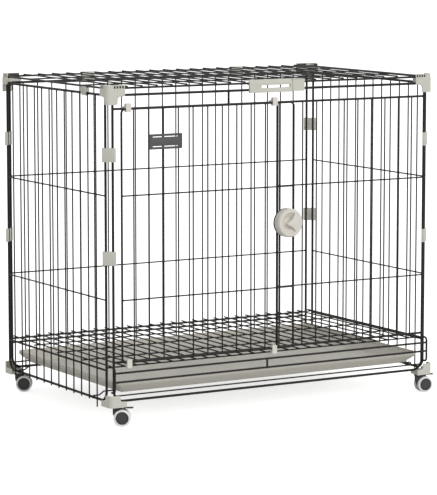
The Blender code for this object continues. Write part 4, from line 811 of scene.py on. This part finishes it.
def make_sleeves():
    """Hinge sleeves: soft-edged pads with a round channel for the end rod of each wall."""
    half_step = CORNER_STEP / math.sqrt(2)
    bore = ROD + GAP
    reach = 0.016
    mouth = 0.0020
    face = -0.0055
    lip = math.degrees(math.asin(mouth / bore))
    outer = [(-reach, mouth), (-reach, face), (reach, face), (reach, mouth)]
    outline = fillet_flat(outer, 0.0018, 5, closed=False)
    outline += arc((half_step, 0.0), bore, lip, -180 - lip, 16)
    outline += arc((-half_step, 0.0), bore, lip, -180 - lip, 16)
    for corner, (side, end) in CORNERS.items():
        turn = math.atan2(end, side) + math.pi / 2
        for level, drop in SLEEVE_DROPS:
            shape = bmesh.new()
            add_prism(shape, [outline], SLEEVE_HEIGHT, 0.0008)
            place = Matrix.Translation((side * SLEEVE_X, end * SLEEVE_Y, TOP_Z - drop))
            matrix = CAGE @ place @ Matrix.Rotation(turn, 4, "Z")
            make_piece(shape, f"moulded_sleeve_{corner}_{level}", "grey_plastic", "cage",
                       [f"hinge_sleeve_{corner}_{level}"], matrix)


# casters


def wheel_centre(corner):
    """Middle of a wheel pair."""
    low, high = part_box(f"caster_wheels_{corner}")
    return Vector([(low[axis] + high[axis]) / 2 for axis in range(3)])


TYRE_BORE = 0.0150
WHEEL_FACETS = 64


def make_wheels(corner):
    """Twin wheels with pale tyres and dark hub caps on one axle."""
    turn = math.radians(CASTER_TURN[corner])
    inner = WHEEL_INNER
    outer = WHEEL_OUTER
    axle = Matrix.Translation(wheel_centre(corner)) @ Matrix.Rotation(turn, 4, "Z") @ FACING
    start = (TYRE_BORE, inner + 0.0006)
    corners = [start, (TYRE_BORE, inner), (AXLE_Z, inner), (AXLE_Z, outer - 0.0006)]
    corners += [(TYRE_BORE + 0.0006, outer), (TYRE_BORE + 0.0003, outer - 0.0012)]
    tread = fillet_flat(corners, [0.0, 0.0004, 0.0015, 0.0024, 0.0006, 0.0], 5, closed=False) + [start]
    cap = [(0.0, outer - 0.0004), (0.0128, outer - 0.0004), (0.0136, outer - 0.0012)]
    cap += [(0.0142, outer - 0.0012), (0.0148, outer - 0.0003), (0.0152, outer - 0.0006)]
    cap += [(0.0152, inner + 0.0004), (0.0, inner + 0.0004)]
    tyre = bmesh.new()
    hub = bmesh.new()
    for side in (-1, 1):
        flip = axle @ Matrix.Diagonal((1.0, 1.0, side, 1.0))
        add_lathe(tyre, tread, WHEEL_FACETS, flip)
        add_lathe(hub, cap, WHEEL_FACETS, flip)
    pin = 0.003
    end = inner + 0.001
    add_lathe(hub, [(0.0, -end), (pin, -end), (pin, end), (0.0, end)], 24, axle)
    make_piece(tyre, f"tyres_{corner}", "white_tyre", f"wheels_{corner}", [f"caster_wheels_{corner}"], HERE)
    make_piece(hub, f"hub_caps_{corner}", "dark_plastic", f"wheels_{corner}", [], HERE)


def make_fork(corner, matrix):
    """Fork between the wheels, with its swivel disc and stem."""
    shape = bmesh.new()
    back = -0.0095
    neck = SWIVEL_LOW + 0.0010
    disc_radius = 0.0125
    collar_radius = 0.0108
    stem_radius = 0.0050
    fin = [(back, neck), (back, AXLE_Z + 0.009), *arc((TRAIL, AXLE_Z), 0.0165, 195, 388, 26)]
    fin += [(0.0205, 0.0398), (0.0148, 0.0392), (0.0136, 0.0403), (0.0120, neck)]
    hole = arc((TRAIL, AXLE_Z), 0.0033, 0, 360, 20)[:-1]
    add_prism(shape, [fin, hole], 0.0098, 0.0008, FACING)
    disc = [(0.0, SWIVEL_LOW), (disc_radius, SWIVEL_LOW), (disc_radius, SWIVEL_TOP), (0.0, SWIVEL_TOP)]
    add_lathe(shape, fillet_flat(disc, 0.0006, 4, closed=False), 40, HERE)
    collar = [(0.0, SWIVEL_LOW - 0.0030), (0.0086, SWIVEL_LOW - 0.0030)]
    collar += [(collar_radius, SWIVEL_LOW - 0.0002), (collar_radius, neck), (0.0, neck)]
    add_lathe(shape, fillet_flat(collar, 0.0005, 4, closed=False), 40, HERE)
    foot = SWIVEL_TOP - 0.0005
    head = BOTTOM_Z - 0.0040
    stem = [(0.0, foot), (stem_radius, foot), (stem_radius, head - 0.0006), (0.0044, head), (0.0, head)]
    add_lathe(shape, stem, 24, HERE)
    make_piece(shape, f"caster_fork_{corner}", "dark_plastic", f"swivel_{corner}",
               [f"caster_housing_{corner}"], matrix)


def make_lever(corner, matrix):
    """Brake lever: a blade with a turned-up tip, three grip ribs and its root pin."""
    root = 0.0165
    low = 0.0012
    high = 0.0033
    bend = 0.019
    tip = 0.0228
    corners = [(-0.0005, low), (bend, low), (tip, low + 0.0010)]
    corners += [(tip, high + 0.0008), (bend, high), (-0.0005, high)]
    outline = fillet_flat(corners, [0.0006, 0.002, 0.0008, 0.0008, 0.002, 0.0008], 4)
    place = Matrix.Translation((root, 0.0, SWIVEL_LOW - 0.0009)) @ FACING
    shape = bmesh.new()
    add_prism(shape, [outline], 0.0118, 0.0005, place)
    for step in range(3):
        x = 0.0105 + 0.0032 * step
        add_prism(shape, [rectangle(x, high - 0.0002, x + 0.0012, high + 0.0003)], 0.0092, 0.0001, place)
    add_prism(shape, [arc((0.0, 0.0), 0.0017, 0, 360, 20)[:-1]], 0.0098, 0.0003, place)
    make_piece(shape, f"caster_lever_{corner}", "dark_plastic", f"brake_{corner}", [f"brake_lever_{corner}"],
               matrix)


def make_casters():
    """Four swivel casters, each turned as in the photograph, the front ones with a brake lever."""
    for corner in CORNERS:
        make_wheels(corner)
    for corner in CORNERS:
        turn = math.radians(CASTER_TURN[corner])
        swivel = wheel_centre(corner) - TRAIL * Vector((math.cos(turn), math.sin(turn), 0.0))
        matrix = Matrix.Translation((swivel.x, swivel.y, 0.0)) @ Matrix.Rotation(turn, 4, "Z")
        make_fork(corner, matrix)
        if corner in BRAKED:
            make_lever(corner, matrix)


# door fittings


KNOB_POCKET = 0.0125
KNOB_RIM = 0.0262
KNOB_FACETS = 96


def make_knob():
    """Round knob grip with a dished pocket round a wedge that points left."""
    low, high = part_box("knob_grip")
    face = Matrix.Translation(((low[0] + high[0]) / 2, 0.0, (low[2] + high[2]) / 2)) @ FACING
    crown = -low[1]
    back = -high[1]
    rear = back + 0.0035
    radius = (high[0] - low[0]) / 2
    spigot = 0.0076
    corners = [(0.0, crown - KNOB_POCKET), (0.0125, crown - KNOB_POCKET), (0.0238, crown - 0.0042)]
    corners += [(KNOB_RIM, crown), (radius - 0.0034, crown), (radius, crown - 0.0046), (radius, rear)]
    corners += [(spigot, rear), (spigot, back + 0.0002), (0.0, back + 0.0002)]
    rounds = [0.0, 0.004, 0.0012, 0.0008, 0.0020, 0.0026, 0.0008, 0.0, 0.0005, 0.0]
    grip = bmesh.new()
    add_lathe(grip, fillet_flat(corners, rounds, 5, closed=False), KNOB_FACETS, face)
    upper = [(-0.0030, 0.0030), (0.0040, 0.0078), (0.0085, 0.0150), (0.0112, 0.0218)]
    lower = [(0.0135, -0.0205), (0.0100, -0.0140), (0.0045, -0.0095), (-0.0030, -0.0058)]
    rim = list(reversed(arc((0.0, 0.0), KNOB_RIM, -57, 63, 18)))
    blade = [(-0.0105, -0.0020), *upper, *rim, *lower]
    rounds = [0.0012] + [0.003] * len(upper) + [0.0] * len(rim) + [0.003] * len(lower)
    outline = fillet_flat(blade, rounds, 4)
    add_prism(grip, [outline], 0.0132, 0.0009, face @ Matrix.Translation((0.0, 0.0, crown - 0.0067)))
    make_piece(grip, "pale_knob_grip", "light_plastic", "knob", ["knob_grip"], HERE, 40.0)


def make_name_plate():
    """Bare name plate with rounded edges, two slots and a shallow raised border."""
    low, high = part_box("name_plate")
    half = (high[0] - low[0]) / 2
    rise = (high[2] - low[2]) / 2
    depth = high[1] - low[1]
    slot = 0.035
    outlines = [rectangle(-half, -rise, half, rise, 0.003, 6)]
    for side in (-1, 1):
        middle = side * (rise - 0.0066)
        outlines.append(rectangle(-slot, middle - 0.0010, slot, middle + 0.0010, 0.0009, 4))
    centre = [(low[axis] + high[axis]) / 2 for axis in range(3)]
    shape = bmesh.new()
    add_prism(shape, outlines, depth - 0.0006, 0.0004, Matrix.Translation((0.0, 0.0, -0.0003)))
    border = [rectangle(-half + inset, -rise + inset, half - inset, rise - inset, corner, 6)
              for inset, corner in ((0.0012, 0.0022), (0.0026, 0.0012))]
    add_prism(shape, border, 0.0008, 0.0002, Matrix.Translation((0.0, 0.0, depth / 2 - 0.0004)))
    make_piece(shape, "bare_name_plate", "plate_plastic", "door", ["name_plate"],
               Matrix.Translation(centre) @ FACING)


# roof fittings


SHELF_HIGH = ROOF_Z - RAIL - GAP
PLATE = 0.0020


def add_shelf(shape, middle, half, front, depth):
    """Flat shelf under the roof's front rod."""
    shelf = rectangle(-half, 0.0, half, depth, 0.0010)
    place = Matrix.Translation((middle, front + 0.0010, SHELF_HIGH - PLATE / 2))
    add_prism(shape, [shelf], PLATE, 0.0004, place)


def make_handle():
    """Carry handle: face plate with its finger slot, sloped top, shelf and end walls."""
    low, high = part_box("roof_handle")
    front = low[1]
    back = high[1]
    top = high[2]
    left = low[0] + 0.0050
    right = high[0]
    middle = (left + right) / 2
    half = (right - left) / 2
    slope = top - 0.0058
    slot_left = low[0] + 0.0385 - middle
    slot_right = right - 0.0055 - middle
    slot_low = ROOF_Z - 0.0120
    slot_high = ROOF_Z - 0.0052
    shape = bmesh.new()
    slot = rectangle(slot_left, slot_low, slot_right, slot_high, 0.0015, 5)
    plate = rectangle(-half, low[2], half, slope, 0.0012, 5)
    place = Matrix.Translation((middle, front + PLATE, 0.0)) @ FACING
    add_prism(shape, [plate, slot], 2 * PLATE, 0.0006, place)
    rim = rectangle(slot_left - 0.0020, slot_low - 0.0016, slot_right + 0.0020, slot_high + 0.0012, 0.0028, 5)
    place = Matrix.Translation((middle, front + 0.0052, 0.0)) @ FACING
    add_prism(shape, [rim, slot], 0.0024, 0.0005, place)
    cover = [(front + 0.0004, slope - 0.0012), (front, slope - 0.0002), (front + 0.0052, top), (back, top)]
    cover += [(back, top - PLATE), (front + 0.0062, top - PLATE), (front + 0.0040, slope - 0.0012)]
    cover = fillet_flat(cover, [0.0003, 0.0005, 0.0014, 0.0006, 0.0006, 0.001, 0.0005], 4)
    add_prism(shape, [cover], 2 * half, 0.0004, Matrix.Translation((middle, 0.0, 0.0)) @ ACROSS)
    add_shelf(shape, middle, half, front, 0.0115)
    wall = [(front + 0.0005, low[2] + 0.0006), (front + 0.0060, low[2] + 0.0006)]
    wall += [(front + 0.0066, SHELF_HIGH - 0.0012), (front + 0.0066, top - 0.0005)]
    wall += [(front + 0.0052, top - 0.0005), (front + 0.0005, slope - 0.0008)]
    for x in (left + 0.0011, right - 0.0011):
        add_prism(shape, [wall], PLATE, 0.0004, Matrix.Translation((x, 0.0, 0.0)) @ ACROSS)
    make_piece(shape, "slotted_carry_handle", "grey_plastic", "roof", ["roof_handle"], HERE)


def make_latch():
    """Latch block beside the handle, a little proud of it."""
    low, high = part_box("roof_latch")
    middle = (low[0] + high[0]) / 2
    half = (high[0] - low[0]) / 2
    front = low[1]
    top = high[2]
    reach = (high[1] - front) / 2
    shape = bmesh.new()
    block = rectangle(-half, low[2], half, top, 0.0018, 5)
    add_prism(shape, [block], 0.0052, 0.0009, Matrix.Translation((middle, front + 0.0026, 0.0)) @ FACING)
    cover = rectangle(-half, -reach, half, reach, 0.0010)
    place = Matrix.Translation((middle, front + reach, top - PLATE / 2))
    add_prism(shape, [cover], PLATE, 0.0004, place)
    add_shelf(shape, middle, half, front, 0.0125)
    make_piece(shape, "sliding_latch_block", "grey_plastic", "roof_catch", ["roof_latch"], HERE)


def make_clip_ribs():
    """Grip ribs down the outer side of the roof's side clip."""
    low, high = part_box("roof_side_clip")
    rise = (high[2] - low[2]) / 2 - 0.0004
    rib = rectangle(-0.0008, -rise + 0.0040, 0.0010, rise - 0.0012, 0.0003)
    shape = bmesh.new()
    for index in range(6):
        place = (low[0] + 0.0003, low[1] + 0.0021 + 0.00316 * index, (low[2] + high[2]) / 2 + 0.0012)
        add_prism(shape, [rib], 0.0014, 0.0003, Matrix.Translation(place) @ FACING)
    make_piece(shape, "side_clip_ribs", "grey_plastic", "cage", [], HERE)


# tray


def make_tray():
    """Tray: soft rim, upright lip, sloping walls and soft bends."""
    low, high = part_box("tray")
    rim = high[2]
    base = low[2]
    floor = base + 0.0020
    outside = [(0.0, rim - 0.0004), (0.0, rim - 0.0080), (0.0012, rim - 0.0092), (0.0030, rim - 0.0116)]
    outside += [(0.0210, base + 0.0034), (0.0228, base + 0.0014), (0.0258, base + 0.0003), (0.0300, base)]
    inside = [(0.0300, floor), (0.0262, floor + 0.0003), (0.0236, floor + 0.0018), (0.0222, floor + 0.0036)]
    inside += [(0.0052, rim - 0.0112), (0.0032, rim - 0.0088), (0.0021, rim - 0.0070)]
    inside += [(0.0020, rim - 0.0004), (0.0014, rim), (0.0006, rim)]
    shape = bmesh.new()
    rings = []
    for inset, height in outside + inside:
        x = (high[0] - low[0]) / 2 - inset
        y = (high[1] - low[1]) / 2 - inset
        outline = rectangle(-x, -y, x, y, max(0.003, 0.010 - inset * 0.2), 10)
        rings.append([shape.verts.new((*point, height)) for point in outline])
    for first, second in zip(rings, rings[1:]):
        join_rings(shape, first, second)
    join_rings(shape, rings[-1], rings[0])
    shape.faces.new(rings[len(outside) - 1])
    shape.faces.new(list(reversed(rings[len(outside)])))
    matrix = Matrix.Translation(((low[0] + high[0]) / 2, (low[1] + high[1]) / 2, 0.0))
    make_piece(shape, "moulded_tray", "tray_plastic", "tray", ["tray"], matrix, 50.0)


# stage


FLOOR_LIFT = 0.72
WORLD_LIGHT = 0.60
SUN_LIGHT = 1.2
SUN_AIM = (-0.22, 0.88, -0.45)
SUN_SPREAD = 50


def make_floor():
    """White floor that keeps the shadow, lifted to white where the camera sees it."""
    bpy.ops.mesh.primitive_plane_add(size=60.0, location=(0.0, 0.0, 0.0))
    floor = bpy.context.object
    floor.name = "floor"
    material, tree, shader = new_material("floor")
    shader.inputs["Base Color"].default_value = (0.80, 0.80, 0.80, 1.0)
    shader.inputs["Roughness"].default_value = 0.9
    shader.inputs["Specular IOR Level"].default_value = 0.0
    path = tree.nodes.new("ShaderNodeLightPath")
    lift = tree.nodes.new("ShaderNodeEmission")
    seen = tree.nodes.new("ShaderNodeMath")
    seen.operation = "MULTIPLY"
    seen.inputs[1].default_value = FLOOR_LIFT
    tree.links.new(path.outputs["Is Camera Ray"], seen.inputs[0])
    tree.links.new(seen.outputs["Value"], lift.inputs["Strength"])
    both = tree.nodes.new("ShaderNodeAddShader")
    tree.links.new(shader.outputs["BSDF"], both.inputs[0])
    tree.links.new(lift.outputs["Emission"], both.inputs[1])
    tree.links.new(both.outputs["Shader"], tree.nodes["Material Output"].inputs["Surface"])
    floor.data.materials.append(material)


def make_world():
    """Even light, with white behind the object and in its reflections."""
    world = bpy.data.worlds.new("world")
    bpy.context.scene.world = world
    world.use_nodes = True
    tree = world.node_tree
    light = tree.nodes["Background"]
    light.inputs["Color"].default_value = (1.0, 1.0, 1.0, 1.0)
    light.inputs["Strength"].default_value = WORLD_LIGHT
    white = tree.nodes.new("ShaderNodeBackground")
    white.inputs["Color"].default_value = (1.0, 1.0, 1.0, 1.0)
    white.inputs["Strength"].default_value = 1.0
    path = tree.nodes.new("ShaderNodeLightPath")
    seen = path.outputs["Is Camera Ray"]
    for ray in ("Is Transmission Ray", "Is Glossy Ray"):
        either = tree.nodes.new("ShaderNodeMath")
        either.operation = "MAXIMUM"
        tree.links.new(seen, either.inputs[0])
        tree.links.new(path.outputs[ray], either.inputs[1])
        seen = either.outputs["Value"]
    mix = tree.nodes.new("ShaderNodeMixShader")
    tree.links.new(seen, mix.inputs["Fac"])
    tree.links.new(light.outputs["Background"], mix.inputs[1])
    tree.links.new(white.outputs["Background"], mix.inputs[2])
    tree.links.new(mix.outputs["Shader"], tree.nodes["World Output"].inputs["Surface"])


def make_lamp():
    """Soft light from the front."""
    data = bpy.data.lights.new("soft_sun", "SUN")
    data.angle = math.radians(SUN_SPREAD)
    data.energy = SUN_LIGHT
    lamp = bpy.data.objects.new("soft_sun", data)
    bpy.context.scene.collection.objects.link(lamp)
    lamp.rotation_euler = Vector(SUN_AIM).to_track_quat("-Z", "Y").to_euler()


# carried-over nodes


def paint(node, material):
    """Give a node of the frame a material."""
    obj = NODES[node]
    if not obj.material_slots:
        obj.data.materials.append(material)
    for slot in obj.material_slots:
        slot.material = material


def soften(node, harden):
    """Round the edges of a node's solid."""
    bevel = NODES[node].modifiers.new("soft_edges", "BEVEL")
    bevel.width = 0.0004
    bevel.segments = 2
    bevel.limit_method = "ANGLE"
    bevel.angle_limit = math.radians(40)
    bevel.harden_normals = harden


# build

for entry in frame["record"]["subparts"]:
    paint(entry["node"], MATERIALS[entry["material_slot"]])
make_walls()
make_front()
make_door()
make_roof()
make_grate()
make_tray_wires()
make_caps()
make_painted_slot_shade()
make_brackets()
make_sleeves()
make_casters()
make_knob()
make_name_plate()
make_handle()
make_latch()
make_clip_ribs()
make_tray()
soften("knob_backing", False)
for node in ("glide_clip_top_left", "glide_clip_top_right", "glide_clip_bottom_left",
             "glide_clip_bottom_right", "roof_hinge_clip_left", "roof_hinge_clip_right", "roof_side_clip",
             "latch_bolt"):
    soften(node, True)
make_floor()
make_world()
make_lamp()
make_camera()
bpy.context.scene.view_settings.view_transform = "Standard"
